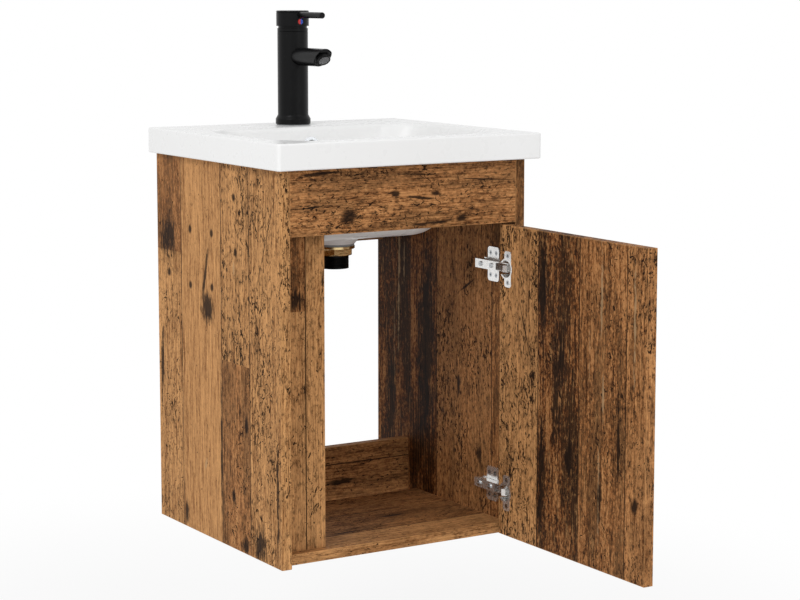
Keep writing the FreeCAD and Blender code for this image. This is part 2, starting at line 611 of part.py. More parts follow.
def build_basin():
    at = V(0, DRAIN_Y, 0)
    slab = prism(rounded_rect(-BASIN_X, BASIN_X, BASIN_FRONT, 0, RIM_CORNER_R, TOP), RIM_H)
    slab = slab.makeFillet(RIM_EDGE_R, edges_at(slab, RIM))
    slab = slab.makeFillet(RIM_FOOT_R, edges_at(slab, TOP))
    ring_x = XI - RING_IN
    ring_y = DOOR_IN + RING_IN
    back_y = -BOARD - RING_IN
    hollow = prism(rounded_rect(-ring_x, ring_x, ring_y, back_y, HOLLOW_R, TOP), RIM_H - DECK_T)
    outside = bowl_form(RIM_EDGE_R, BOWL_DEPTH + BOWL_WALL, BOWL_WALL, FLOOR_R + BOWL_WALL)
    body = fuse(slab.cut(hollow), outside)
    boss_top = FLOOR - BOWL_WALL
    boss = revolve([(0, boss_top + 2), (BOSS_R + 2, boss_top + 2), (BOSS_R, boss_top - 2),
                    (BOSS_FOOT_R, boss_top - BOSS_H + BOSS_TAPER), (BOSS_SEAT_R, boss_top - BOSS_H),
                    (0, boss_top - BOSS_H)], at)
    duct_y1 = -DECK_D + BOWL_WALL + DUCT_GAP
    duct_z0 = boss_top - BOSS_H + DUCT_WALL
    duct_z1 = RIM - DECK_T
    half = DUCT_W / 2
    out_y = duct_y1 + DUCT_WALL
    out_z = duct_z0 - DUCT_WALL + 2
    leg = box(-half, half, DRAIN_Y, out_y, out_z, duct_z1 + 1)
    corner = [e for e in leg.Edges
              if abs(e.CenterOfMass.y - out_y) < 1e-6 and abs(e.CenterOfMass.z - out_z) < 1e-6]
    leg = leg.makeFillet(FLOOR_R * 0.6, corner)
    body = fuse(body, boss, leg)
    inside = bowl_form(-5.0, BOWL_DEPTH, 0.0, FLOOR_R)
    body = body.cut(inside)
    # The dish leans: its upper circle lies further forward, so it ends just behind the drain.
    seat_ring = Part.Wire(Part.makeCircle(SEAT_R, V(0, DRAIN_Y, FLOOR - DISH_FALL), Z_AXIS))
    dish_y = DRAIN_Y + SEAT_R + DISH_LEDGE - DISH_R
    dish_ring = Part.Wire(Part.makeCircle(DISH_R, V(0, dish_y, FLOOR), Z_AXIS))
    dish = Part.makeLoft([seat_ring, dish_ring], True, True)
    body = body.cut([dish, cyl(DISH_R, DISH_RISE, V(0, dish_y, FLOOR))])
    body = body.cut(cyl(DRAIN_BORE_R, BOWL_DEPTH, V(0, DRAIN_Y, FLOOR - BOWL_DEPTH)))
    shaft_x = half - DUCT_WALL
    hole_z = RIM - OVERFLOW_DROP
    duct_in = -DECK_D + BOWL_WALL
    shaft = box(-shaft_x, shaft_x, duct_in, duct_y1, duct_z0, hole_z + OVERFLOW_R)
    run = box(-shaft_x, shaft_x, DRAIN_Y + DRAIN_BORE_R * 0.6, duct_y1, duct_z0, duct_z0 + DUCT_GAP - 2)
    body = body.cut([shaft, run])
    lean = math.atan2(LEAN_BACK, BOWL_DEPTH)
    into = V(0, math.cos(lean), -math.sin(lean))
    hole_at = V(0, back_wall_y(hole_z), hole_z)
    hole = cyl(OVERFLOW_R, BOWL_WALL * 3, hole_at - into * BOWL_WALL, into)
    body = body.cut(hole.common(box(-half, half, BASIN_FRONT, duct_y1, FLOOR, RIM)))
    body = body.cut(cyl(TAP_HOLE_R, RIM_H * 2, V(0, TAP_Y, TOP)))
    lip = edges_at(body, RIM, lambda c: abs(c.x) < BASIN_X - RIM_SIDE / 2 and
                   BASIN_FRONT + RIM_FRONT / 2 < c.y < -DECK_D + 1)
    body = body.makeFillet(LIP_R, lip)
    nodes["ceramic_basin"] = body
    bore_r = OVERFLOW_R - RING_FIT - OVERFLOW_WALL
    flange = tube(OVERFLOW_R + OVERFLOW_LIP, bore_r, OVERFLOW_T, hole_at - into * OVERFLOW_T, into)
    sleeve = tube(OVERFLOW_R - RING_FIT, bore_r, OVERFLOW_SLEEVE, hole_at, into)
    nodes["overflow_ring"] = fuse(flange, sleeve)


def build_waste():
    at = V(0, DRAIN_Y, 0)
    seat = FLOOR - DISH_FALL
    boss_foot = FLOOR - BOWL_WALL - BOSS_H
    flange_z = seat + GASKET_T
    nut_top = boss_foot - WASHER_T
    tail_foot = nut_top - LOCKNUT_T - TAIL_FOOT
    inner = TAIL_BORE_R
    mouth = PLUG_R + PLUG_GAP
    top = flange_z + WASTE_FLANGE_T
    body = revolve([(FLANGE_R, flange_z), (FLANGE_R - 1, top), (mouth + 2, top), (mouth, flange_z),
                    (inner, flange_z - 5), (inner, tail_foot), (TAIL_R, tail_foot),
                    (TAIL_R, tail_foot + TAIL_FOOT),
                    (THREAD_R, tail_foot + TAIL_FOOT), (THREAD_R, flange_z)], at)
    guide_top = flange_z - GUIDE_DROP
    guide = cyl(GUIDE_R, GUIDE_L, V(0, DRAIN_Y, guide_top - GUIDE_L))
    spoke = box(-inner - 1, inner + 1, -SPOKE_T / 2, SPOKE_T / 2, guide_top - GUIDE_L, guide_top)
    spoke.translate(at)
    cross = spoke.copy()
    cross.rotate(at, Z_AXIS, 90)
    body = fuse(body, guide, spoke, cross)
    body = body.cut(cyl(PLUG_STEM_R + PLUG_STEM_FIT, GUIDE_L * 2, V(0, DRAIN_Y, guide_top - GUIDE_L * 1.5)))
    slot_z = boss_foot + DUCT_WALL
    slot = cyl(SLOT_R, THREAD_R * 2.5, V(0, DRAIN_Y, slot_z + SLOT_R), Y_AXIS)
    slot = slot.common(box(-inner, inner, DRAIN_Y + inner - SLOT_R, DRAIN_Y + THREAD_R + SLOT_R, FOOT, TOP))
    body = body.cut(slot)
    nodes["waste_body"] = body
    nodes["waste_gasket"] = tube(FLANGE_R - 1.5, DRAIN_BORE_R + 1, GASKET_T, V(0, DRAIN_Y, seat))
    washer = revolve([(THREAD_R + RING_FIT, nut_top), (THREAD_R + RING_FIT, boss_foot),
                      (WASHER_R + 1, boss_foot), (WASHER_R, nut_top)], at)
    nodes["waste_washer"] = washer
    nut = hexagon(LOCKNUT_AF, LOCKNUT_T, V(0, DRAIN_Y, nut_top - LOCKNUT_T))
    chamfer = revolve([(0, nut_top - LOCKNUT_T), (LOCKNUT_AF / 2 + 0.5, nut_top - LOCKNUT_T),
                       (LOCKNUT_AF / 2 + 4, nut_top - LOCKNUT_T + 3), (LOCKNUT_AF / 2 + 4, nut_top),
                       (0, nut_top)], at)
    flange_foot = nut_top - NUT_FLANGE_T
    flange = revolve([(0, flange_foot), (NUT_FLANGE_R - 0.8, flange_foot), (NUT_FLANGE_R, flange_foot + 0.8),
                      (NUT_FLANGE_R, nut_top), (0, nut_top)], at)
    nut = fuse(nut.common(chamfer), flange)
    nodes["waste_locknut"] = nut.cut(cyl(THREAD_R + NUT_FIT, LOCKNUT_T, V(0, DRAIN_Y, nut_top - LOCKNUT_T)))
    seal_z = flange_z + SEAL_GAP
    cap_z = seal_z + SEAL_T
    plug = revolve([(0, cap_z), (PLUG_R, cap_z), (PLUG_R, cap_z + PLUG_T * 0.5),
                    (PLUG_R - 2, cap_z + PLUG_T * 0.8),
                    (PLUG_R - 8, cap_z + PLUG_T), (0, cap_z + PLUG_T)], at)
    stem = cyl(PLUG_STEM_R, PLUG_STEM_L, V(0, DRAIN_Y, cap_z - PLUG_STEM_L))
    nodes["waste_plug"] = fuse(plug, stem)
    nodes["plug_seal"] = tube(PLUG_R - 1, PLUG_STEM_R + 4, SEAL_T, V(0, DRAIN_Y, seal_z))


def build_tap():
    base = RIM + TAP_GASKET_T
    top = RIM + TAP_BODY_H
    at = V(0, TAP_Y, 0)
    flare_z = base + TAP_BASE_H
    body = revolve([(0, base), (SPIGOT_BORE_R, base), (SPIGOT_BORE_R, base - SPIGOT_L),
                    (SPIGOT_R, base - SPIGOT_L), (SPIGOT_R, base), (TAP_BASE_R, base),
                    (TAP_BASE_R, flare_z), (TAP_R, flare_z + TAP_FLARE_H), (TAP_R, top),
                    (CART_BORE_R, top), (CART_BORE_R, top + CART_PROUD - CART_L),
                    (0, top + CART_PROUD - CART_L)], at)
    body = body.makeFillet(TAP_FLARE_R, edges_at(body, flare_z))
    for s in (-1, 1):
        body = body.cut(cyl(INLET_R, INLET_L, V(s * INLET_STEP / 2, TAP_Y + INLET_BACK, base)))
    stud_y = TAP_Y - STUD_FORE
    stud = cyl(STUD_R, STUD_L + STUD_IN, V(0, stud_y, base - STUD_L))
    body = body.cut(stud)
    spout_z = top - SPOUT_DROP
    spigot_y = TAP_Y - TAP_R + SPOUT_SPIGOT_L
    spigot = cyl(SPOUT_SPIGOT_R, TAP_R + SPOUT_SPIGOT_L, V(0, spigot_y, spout_z), Y_AXIS * -1)
    pipe = cyl(SPOUT_R, SPOUT_REACH + 2 * SPOUT_R, V(0, TAP_Y, spout_z), Y_AXIS * -1)
    pipe = pipe.cut(cyl(TAP_R, TAP_BODY_H, V(0, TAP_Y, RIM)))
    tilt = math.radians(OUTLET_TILT)
    outlet = V(0, TAP_Y - SPOUT_REACH, spout_z)
    normal = V(0, -math.sin(tilt), -math.cos(tilt))
    cutter = cyl(SPOUT_R * 4, SPOUT_R * 4, outlet, normal)
    pipe = pipe.cut(cutter)
    tip_y = TAP_Y - SPOUT_REACH - SPOUT_R + SPOUT_TIP_R
    pipe = pipe.cut(box(-SPOUT_R * 2, SPOUT_R * 2, tip_y - SPOUT_R * 3, tip_y, spout_z - SPOUT_R * 2,
                        spout_z + SPOUT_R * 2))
    spout = fuse(pipe, spigot)
    body = body.cut(spigot)
    pocket_at = outlet - normal * AERATOR_IN
    pocket = cyl(AERATOR_R, AERATOR_IN + AERATOR_OUT, pocket_at, normal)
    spout = spout.cut(cyl(AERATOR_R + NUT_FIT, SPOUT_R * 3, pocket_at, normal))
    nodes["tap_body"] = body
    nodes["tap_spout"] = spout
    lip_at = outlet + normal * (AERATOR_OUT - SCREEN_T - 0.6)
    housing = pocket.cut(cyl(AERATOR_R - AERATOR_RIM, SCREEN_T * 4, lip_at, normal))
    nodes["aerator_housing"] = housing
    nodes["aerator_screen"] = cyl(AERATOR_R - AERATOR_RIM, SCREEN_T, lip_at, normal)
    nodes["tap_gasket"] = tube(TAP_GASKET_R, SPIGOT_R + RING_FIT, TAP_GASKET_T, V(0, TAP_Y, RIM))
    nodes["tap_stud"] = stud
    under = RIM - DECK_T
    clamp = cyl(CLAMP_R, CLAMP_T, V(0, TAP_Y, under - CLAMP_T))
    pipe_slot = box(-CLAMP_SLOT / 2, CLAMP_SLOT / 2, TAP_Y - 2, TAP_Y + 2 * CLAMP_R,
                    under - CLAMP_T, under)
    clamp = clamp.cut(pipe_slot)
    clamp = clamp.cut(cyl(STUD_R + RING_FIT, CLAMP_T, V(0, stud_y, under - CLAMP_T)))
    nodes["tap_clamp_plate"] = clamp
    nut_z = under - CLAMP_T - STUD_NUT_T
    nut = hexagon(STUD_NUT_AF, STUD_NUT_T, V(0, stud_y, nut_z))
    nodes["tap_stud_nut"] = nut.cut(cyl(STUD_R + NUT_FIT, STUD_NUT_T, V(0, stud_y, nut_z)))

    cart_z = top + CART_PROUD - CART_L
    cart_top = top + CART_PROUD
    housing = cyl(CART_R, CART_L, V(0, TAP_Y, cart_z))
    nodes["cartridge_housing"] = housing.cut(
        cyl(TURRET_R + TURRET_FIT, TURRET_IN, V(0, TAP_Y, cart_top - TURRET_IN)))
    ring = tube(RING_R, RING_BORE_R, RING_H, V(0, TAP_Y, top))
    nodes["cartridge_ring_nut"] = ring.cut(cyl(CART_R + NUT_FIT, CART_PROUD, V(0, TAP_Y, top)))
    tilt_z = top - TILT_DROP
    tilt_at = V(0, TAP_Y, tilt_z)
    turret_z = cart_top - TURRET_IN
    turret = cyl(TURRET_R, tilt_z + TURRET_OVER - turret_z, V(0, TAP_Y, turret_z))
    slot_w = SPINDLE_W / 2 + SPINDLE_FIT
    slot_z = tilt_z - SPINDLE_DOWN - 2 * SPINDLE_FIT - 0.6
    turret = turret.cut(box(-slot_w, slot_w, TAP_Y - CAP_R, TAP_Y + CAP_R, slot_z, tilt_z + CAP_H))
    pin_l = 2 * TURRET_R - 2
    cross = cyl(CROSS_R, pin_l, V(-pin_l / 2, TAP_Y, tilt_z), X_AXIS)
    nodes["cartridge_turret"] = turret.cut(cross)
    nodes["turret_pin"] = cross
    w = SPINDLE_W / 2
    spindle = box(-w, w, TAP_Y - w, TAP_Y + w, tilt_z - SPINDLE_DOWN, tilt_z + SPINDLE_UP)
    skirt_z = top + CAP_GAP
    cap_top = skirt_z + CAP_H
    cap = cyl(CAP_R, CAP_H, V(0, TAP_Y, skirt_z))
    cap = cap.makeFillet(CAP_EDGE_R, edges_at(cap, cap_top))
    cap = cap.cut(cyl(CAP_R - CAP_WALL, CAP_H - CAP_ROOF, V(0, TAP_Y, skirt_z)))
    lever_z = cap_top - LEVER_DROP
    lever_root = -CAP_R + LEVER_IN
    lever = cyl(LEVER_R, LEVER_REACH + lever_root, V(0, TAP_Y + lever_root, lever_z), Y_AXIS * -1)
    end = [e for e in lever.Edges if abs(e.CenterOfMass.y - (TAP_Y - LEVER_REACH)) < 1e-5]
    lever = lever.makeFillet(LEVER_END_R, end)
    cap = cap.cut([spindle, lever])
    eye = cyl(CROSS_R + CROSS_FIT, 4 * w, V(-2 * w, TAP_Y, tilt_z), X_AXIS)
    nodes["cartridge_spindle"] = spindle.cut(eye)
    grub = cyl(GRUB_R, GRUB_L, V(0, TAP_Y + w, cap_top - CAP_ROOF / 2), Y_AXIS)
    grub_hole = cyl(GRUB_R, CAP_R, V(0, TAP_Y + w, cap_top - CAP_ROOF / 2), Y_AXIS)
    cap = cap.cut(grub_hole)
    dot_at = V(0, TAP_Y - CAP_R + DOT_IN, skirt_z + DOT_UP)
    cap = cap.cut(cyl(DOT_R + DOT_FIT, CAP_R, dot_at, Y_AXIS * -1))
    dot = cyl(DOT_R, DOT_T, dot_at, Y_AXIS * -1)
    gap = DOT_FIT / 2
    dot_low = dot_at.z - CAP_H
    dot_high = dot_at.z + CAP_H
    nodes["dot_hot"] = dot.common(box(-DOT_R * 2, -gap, TAP_Y - CAP_R * 2, TAP_Y, dot_low, dot_high))
    nodes["dot_cold"] = dot.common(box(gap, DOT_R * 2, TAP_Y - CAP_R * 2, TAP_Y, dot_low, dot_high))
    nodes["lever_cap"] = cap
    nodes["lever_pin"] = lever
    nodes["lever_grub_screw"] = grub


build_boards()
build_door()
build_basin()
build_waste()
build_tap()

os.makedirs("parts", exist_ok=True)
for name, shape in nodes.items():
    shape.exportStep(os.path.join("parts", name + ".step"))
    print(name, len(shape.Solids), shape.isValid(), round(shape.Volume / 1000, 2), "cm3")
print("nodes", len(nodes))
print("door pivot", PIVOT.x, PIVOT.y, "foot", FOOT, "top", TOP, "rim", RIM)
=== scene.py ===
import json
import math

import bmesh
import bpy
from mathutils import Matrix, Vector

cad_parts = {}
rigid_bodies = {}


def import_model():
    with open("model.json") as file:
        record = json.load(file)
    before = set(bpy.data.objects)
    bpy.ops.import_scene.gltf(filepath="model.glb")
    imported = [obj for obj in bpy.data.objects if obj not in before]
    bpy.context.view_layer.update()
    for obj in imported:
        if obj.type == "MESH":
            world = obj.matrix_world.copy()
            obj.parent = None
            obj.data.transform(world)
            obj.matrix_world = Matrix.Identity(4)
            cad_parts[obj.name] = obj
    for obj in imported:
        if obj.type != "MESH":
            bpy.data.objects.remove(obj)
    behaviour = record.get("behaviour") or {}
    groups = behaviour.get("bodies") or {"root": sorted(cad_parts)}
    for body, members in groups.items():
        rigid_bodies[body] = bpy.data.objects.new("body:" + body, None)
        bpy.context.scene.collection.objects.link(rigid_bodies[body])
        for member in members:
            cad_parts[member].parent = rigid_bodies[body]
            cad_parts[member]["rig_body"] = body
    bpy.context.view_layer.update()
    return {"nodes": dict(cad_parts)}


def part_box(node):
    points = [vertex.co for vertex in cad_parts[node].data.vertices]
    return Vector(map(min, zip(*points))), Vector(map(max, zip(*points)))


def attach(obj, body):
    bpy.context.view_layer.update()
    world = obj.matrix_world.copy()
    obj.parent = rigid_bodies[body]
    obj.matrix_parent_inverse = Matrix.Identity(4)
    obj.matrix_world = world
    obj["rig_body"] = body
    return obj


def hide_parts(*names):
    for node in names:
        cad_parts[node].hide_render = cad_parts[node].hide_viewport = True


bl_info = {
    "name": "Vanity Unit with Basin",
    "version": (1, 0, 0),
    "blender": (4, 5, 0),
    "location": "View3D > Sidebar > Vanity",
    "description": "Dresses a wall-hung vanity unit: aged boards, basin, tap, waste, hinges and studio",
    "category": "Object",
}

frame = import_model()
NODES = frame["nodes"]
MM = 0.001


# The decor of each board, in millimetres of the unit's frame.
# grain is the axis the fibres follow, across the axis that counts the planks.
# planks: where each starts, its tone (0 pale, 1 dark), its wear (0 smooth, 1 battered) and its own seed.
# above: the same again for the part of the board past a cut across the fibres.
# nails: place across and place along.
# marks: place across, place along, half width, half length, turn in degrees and raggedness.
# scrapes: the same as marks, but pale.
BOARDS = {
    "left_side_panel": {
        "across": "Y", "grain": "Z",
        "planks": [(-374, 0.10, 0.74, 0.11), (-285, 0.52, 0.72, 0.37), (-202, 0.00, 0.16, 0.53),
                   (-78, 0.05, 0.60, 0.71)],
        "above": [
            (-172, [(-374, 0.10, 0.82, 0.11), (-285, 0.16, 1.00, 0.39), (-202, 0.00, 0.16, 0.53),
                    (-78, 0.05, 0.60, 0.71)]),
            (-35, [(-374, 0.13, 0.74, 0.11), (-285, 0.15, 0.80, 0.39), (-202, 0.04, 0.26, 0.53),
                   (-78, 0.66, 0.35, 0.83)])],
        "nails": [(-107, 2), (-174, 2), (-242, 58), (-246, -17), (-38, -67), (-107, -78), (-174, -74)],
        "marks": [(-160, -106, 20, 24, 0, 0.9), (-152, -62, 5, 40, 14, 0.8), (-274, -254, 7, 15, 0, 0.9),
                  (-234, -360, 6, 14, -8, 0.9), (-269, -425, 11, 15, 0, 1.0), (-87, -412, 6, 20, 0, 0.9),
                  (-313, -412, 17, 28, 0, 1.3), (-36, -14, 26, 34, 0, 1.2), (-332, 2, 0.8, 92, 22.5, 0.3),
                  (-199, -310, 3.0, 110, 0, 1.0), (-12, -200, 5, 60, 2, 1.2), (-363, -330, 3.0, 90, 0, 1.3)],
        "scrapes": [(-240, -40, 3, 10, 0, 0.9), (-150, -330, 3, 8, 20, 0.9)],
    },
    "right_side_panel": {
        "across": "Y", "grain": "Z",
        # The front plank beside the hinge is darker partly by its own tone and partly as painted shade beside
        # the hinge
        "planks": [(-374, 0.76, 0.50, 0.23), (-316, 0.46, 0.85, 0.41), (-170, 1.00, 0.20, 0.67),
                   (-96, 1.00, 0.36, 0.91)],
        "marks": [(-250, -90, 2.0, 26, 60, 0.9), (-230, -240, 5, 18, 0, 1.0), (-286, -330, 7, 20, 0, 1.1),
                  (-140, -200, 24, 170, 0, 1.2), (-40, -300, 16, 120, 0, 1.2)],
        "scrapes": [(-62, -110, 2.6, 80, 1, 2.2), (-78, -60, 1.8, 50, 2, 2.2), (-50, -220, 1.6, 60, 0, 2.2)],
    },
    "front_rail": {
        "across": "Z", "grain": "X",
        "planks": [(15, 0.50, 0.78, 0.29)],
        "marks": [(38, -91, 13, 14, 0, 0.9), (65, -17, 6, 8, 20, 0.9), (63, 49, 5, 8, 0, 0.9),
                  (27, 91, 6, 10, 0, 1.0), (58, 21, 2.2, 32, 7, 0.9), (78, 132, 1.0, 48, 4, 0.5),
                  (53, -147, 1.6, 22, -3, 0.7), (97, -140, 3.0, 34, -3, 1.1), (90, 20, 1.2, 40, 3, 0.8),
                  (22, 40, 3.0, 30, -4, 1.1)],
    },
    "grip_stile": {
        "across": "X", "grain": "Z",
        "planks": [(-181, 0.22, 0.60, 0.47), (-142, 0.18, 0.60, 0.59)],
        "above": [(-90, [(-181, 0.82, 0.45, 0.31), (-142, 0.18, 0.60, 0.59)])],
        "marks": [(-155, -74, 11, 15, 0, 1.1), (-115, -51, 4, 9, 0, 0.9)],
    },
    "bottom_panel": {
        "across": "Y", "grain": "X",
        "planks": [(-357, 0.24, 0.45, 0.19), (-298, 0.56, 0.60, 0.43), (-204, 0.42, 0.70, 0.79)],
        "marks": [(-290, -40, 3, 30, 0, 1.1), (-240, 60, 4, 26, 4, 1.1)],
    },
    "lower_back_rail": {
        "across": "Z", "grain": "X",
        "planks": [(-435, 0.45, 0.55, 0.61), (-372, 0.34, 0.50, 0.13)],
        "marks": [(-400, 60, 6, 22, 0, 1.0)],
    },
    "upper_back_rail": {
        "across": "Z", "grain": "X",
        "planks": [(-45, 0.35, 0.50, 0.73), (12, 0.55, 0.50, 0.17)],
        "marks": [(-20, -60, 7, 18, 0, 1.0)],
    },
    "door_board": {
        "across": "Y", "grain": "Z",
        "planks": [(-698, 0.42, 0.92, 0.33), (-655, 0.74, 0.66, 0.57), (-552, 0.95, 0.66, 0.87),
                   (-457, 0.22, 1.00, 0.15)],
        "marks": [(-425, -130, 1.4, 48, -20, 0.9), (-512, -160, 9, 60, 2, 1.3), (-601, -337, 6, 40, 0, 1.3),
                  (-530, -292, 8, 30, 4, 1.3), (-640, -250, 4, 70, 0, 1.2), (-676, -330, 8, 12, 0, 1.0),
                  (-468, -60, 9, 90, 0, 1.4), (-466, -330, 8, 110, 0, 1.4), (-500, -210, 11, 100, 0, 1.4)],
        "scrapes": [(-601, -60, 2.5, 60, 0, 1.5), (-606, -190, 2.0, 40, 0, 1.5),
                    (-598, -330, 2.2, 60, 0, 1.5), (-672, -90, 2.5, 70, 0, 1.4),
                    (-575, -140, 1.6, 30, 0, 1.4)],
    },
}
# Half width, half length, turn and raggedness of a nail hole; half width and raggedness of a seam.
NAIL = (5.8, 7.0, 0, 0.16)
SEAM_HALF, SEAM_RAGGED = 1.05, 0.22

# Flecks of the battered planks: turn in degrees, cycles per metre across and along, and how far wear
# spreads them.
FLECKS = ((22.0, 310.0, 105.0, 0.150), (-26.0, 260.0, 84.0, 0.155),
          (72.0, 330.0, 120.0, 0.110), (3.0, 380.0, 60.0, 0.150))

# Boxes in metres of the unit's frame: all of it, and where the bowl's dish runs out behind the drain.
EVERYWHERE = ((-9.0, -9.0, -9.0), (9.0, 9.0, 9.0))
DISH_BACK = ((-0.060, -0.172, 0.0005), (0.060, -0.135, 0.0120))

# Distances, in metres, under which points are one: on a copied node, after a bevel and on a thread;
# and how close a cut may pass to a point before it takes the point itself.
WELD, BEVEL_WELD, THREAD_WELD = 0.000005, 0.000001, 0.00002
GROOVE_CUT, THREAD_CUT = 0.00001, 0.000002


class VanityBoards(bpy.types.PropertyGroup):
    pale: bpy.props.FloatVectorProperty(
        name="Pale wood", description="Smooth pale planks", subtype="COLOR", size=3, min=0, max=1,
        default=(0.545, 0.280, 0.110))
    worn: bpy.props.FloatVectorProperty(
        name="Worn wood", description="Dark fibres of pale planks", subtype="COLOR", size=3, min=0, max=1,
        default=(0.205, 0.078, 0.023))
    brown: bpy.props.FloatVectorProperty(
        name="Brown wood", description="Light fibres of dark planks", subtype="COLOR", size=3, min=0, max=1,
        default=(0.104, 0.036, 0.0110))
    black: bpy.props.FloatVectorProperty(
        name="Black wood", description="Knots, cracks, dark fibres", subtype="COLOR", size=3, min=0, max=1,
        default=(0.0120, 0.0060, 0.0036))
    bare: bpy.props.FloatVectorProperty(
        name="Bare wood", description="Scrapes on dark planks", subtype="COLOR", size=3, min=0, max=1,
        default=(0.42, 0.275, 0.145))
    edge: bpy.props.FloatProperty(
        name="Edge rounding", description="Rounding of the boards' banded edges", unit="LENGTH",
        default=0.0008, min=0)
    shortest: bpy.props.FloatProperty(
        name="Shortest edge", description="Shorter edges, as of bores, stay sharp", unit="LENGTH",
        default=0.012, min=0)


class VanityFittings(bpy.types.PropertyGroup):
    glaze: bpy.props.FloatVectorProperty(
        name="Glaze", description="White glaze of the basin", subtype="COLOR", size=3, min=0, max=1,
        default=(0.84, 0.84, 0.835))
    coat: bpy.props.FloatVectorProperty(
        name="Black coat", description="Matt coat of tap and waste", subtype="COLOR", size=3, min=0, max=1,
        default=(0.0022, 0.0022, 0.0024))
    nickel: bpy.props.FloatVectorProperty(
        name="Nickel", description="Plated hinge parts", subtype="COLOR", size=3, min=0, max=1,
        default=(0.92, 0.915, 0.90))
    zinc: bpy.props.FloatVectorProperty(
        name="Zinc", description="Plated screws, cams and clamp", subtype="COLOR", size=3, min=0, max=1,
        default=(0.60, 0.62, 0.64))
    brass: bpy.props.FloatVectorProperty(
        name="Brass", description="Lock nut of the waste, spindle", subtype="COLOR", size=3, min=0, max=1,
        default=(0.86, 0.65, 0.33))
    rubber: bpy.props.FloatVectorProperty(
        name="Rubber", description="Gaskets and seals", subtype="COLOR", size=3, min=0, max=1,
        default=(0.30, 0.31, 0.32))
    grille: bpy.props.FloatVectorProperty(
        name="Grille", description="Plastic of the aerator's grille", subtype="COLOR", size=3, min=0, max=1,
        default=(0.20, 0.20, 0.205))
    cartridge: bpy.props.FloatVectorProperty(
        name="Cartridge", description="Plastic of the cartridge", subtype="COLOR", size=3, min=0, max=1,
        default=(0.55, 0.56, 0.58))
    hot: bpy.props.FloatVectorProperty(
        name="Hot dot", description="Red half of the dot", subtype="COLOR", size=3, min=0, max=1,
        default=(0.55, 0.012, 0.010))
    cold: bpy.props.FloatVectorProperty(
        name="Cold dot", description="Blue half of the dot", subtype="COLOR", size=3, min=0, max=1,
        default=(0.012, 0.07, 0.45))
    beech: bpy.props.FloatVectorProperty(
        name="Beech", description="Dowels", subtype="COLOR", size=3, min=0, max=1,
        default=(0.52, 0.33, 0.16))


class VanityForms(bpy.types.PropertyGroup):
    edge: bpy.props.FloatProperty(
        name="Edge rounding", description="Rounding of turned and cast edges", unit="LENGTH",
        default=0.0004, min=0)
    pressed: bpy.props.FloatProperty(
        name="Pressed edge", description="Rounding of the hinges' pressed edges", unit="LENGTH",
        default=0.00025, min=0)
    pressed_shortest: bpy.props.FloatProperty(
        name="Shortest pressed edge", description="Shorter edges of the hinges stay sharp", unit="LENGTH",
        default=0.0008, min=0)
    nut: bpy.props.FloatProperty(
        name="Nut edge", description="Rounding of the lock nut", unit="LENGTH", default=0.0006, min=0)
    seal: bpy.props.FloatProperty(
        name="Seal edge", description="Rounding of washers and seals", unit="LENGTH", default=0.0003, min=0)
    small: bpy.props.FloatProperty(
        name="Small edge", description="Rounding of dots and cam discs", unit="LENGTH", default=0.0002, min=0)
    dish: bpy.props.FloatProperty(
        name="Dish edge", description="Softness of the dish's edge behind the drain", unit="LENGTH",
        default=0.0014, min=0)
    body_line: bpy.props.FloatProperty(
        name="Body line", description="Turned line of the tap body, below its top", unit="LENGTH",
        default=0.0045, min=0)
    cap_line: bpy.props.FloatProperty(
        name="Cap line", description="Turned line of the lever cap, below its top", unit="LENGTH",
        default=0.0030, min=0)
    line: bpy.props.FloatProperty(
        name="Turned line", description="Half width and depth of those lines", unit="LENGTH",
        default=0.0004, min=0)
    tail_rings: bpy.props.IntProperty(
        name="Tail rings", description="Grooves around the waste's tail", default=8, min=0)
    tail_start: bpy.props.FloatProperty(
        name="First ring", description="Height of the first groove over the tail's end", unit="LENGTH",
        default=0.0018, min=0)
    tail_pitch: bpy.props.FloatProperty(
        name="Ring pitch", description="Step between the tail's grooves", unit="LENGTH",
        default=0.0020, min=0)
    tail_half: bpy.props.FloatProperty(
        name="Ring half width", description="Half width of the tail's grooves", unit="LENGTH",
        default=0.0008, min=0)
    tail_depth: bpy.props.FloatProperty(
        name="Ring depth", description="Depth of the tail's grooves", unit="LENGTH", default=0.0007, min=0)
    thread_pitch: bpy.props.FloatProperty(
        name="Thread pitch", description="Pitch of the fixing stud", unit="LENGTH", default=0.00125, min=0)
    thread_depth: bpy.props.FloatProperty(
        name="Thread depth", description="Depth of the stud's thread", unit="LENGTH", default=0.0006, min=0)
    recess_length: bpy.props.FloatProperty(
        name="Recess length", description="Span of a screw's crossed recess", unit="LENGTH",
        default=0.0050, min=0)
    recess_width: bpy.props.FloatProperty(
        name="Recess width", description="Width of the recess's arms", unit="LENGTH", default=0.0014, min=0)
    recess_depth: bpy.props.FloatProperty(
        name="Recess depth", description="Depth of the recess", unit="LENGTH", default=0.0022, min=0)
    bar: bpy.props.FloatProperty(
        name="Grille bar", description="Height of the grille's bars, and of its back plate", unit="LENGTH",
        default=0.0006, min=0)
    slant: bpy.props.FloatProperty(
        name="Aerator slant", description="Turn of the aerator to the front", subtype="ANGLE",
        default=math.radians(45.0))


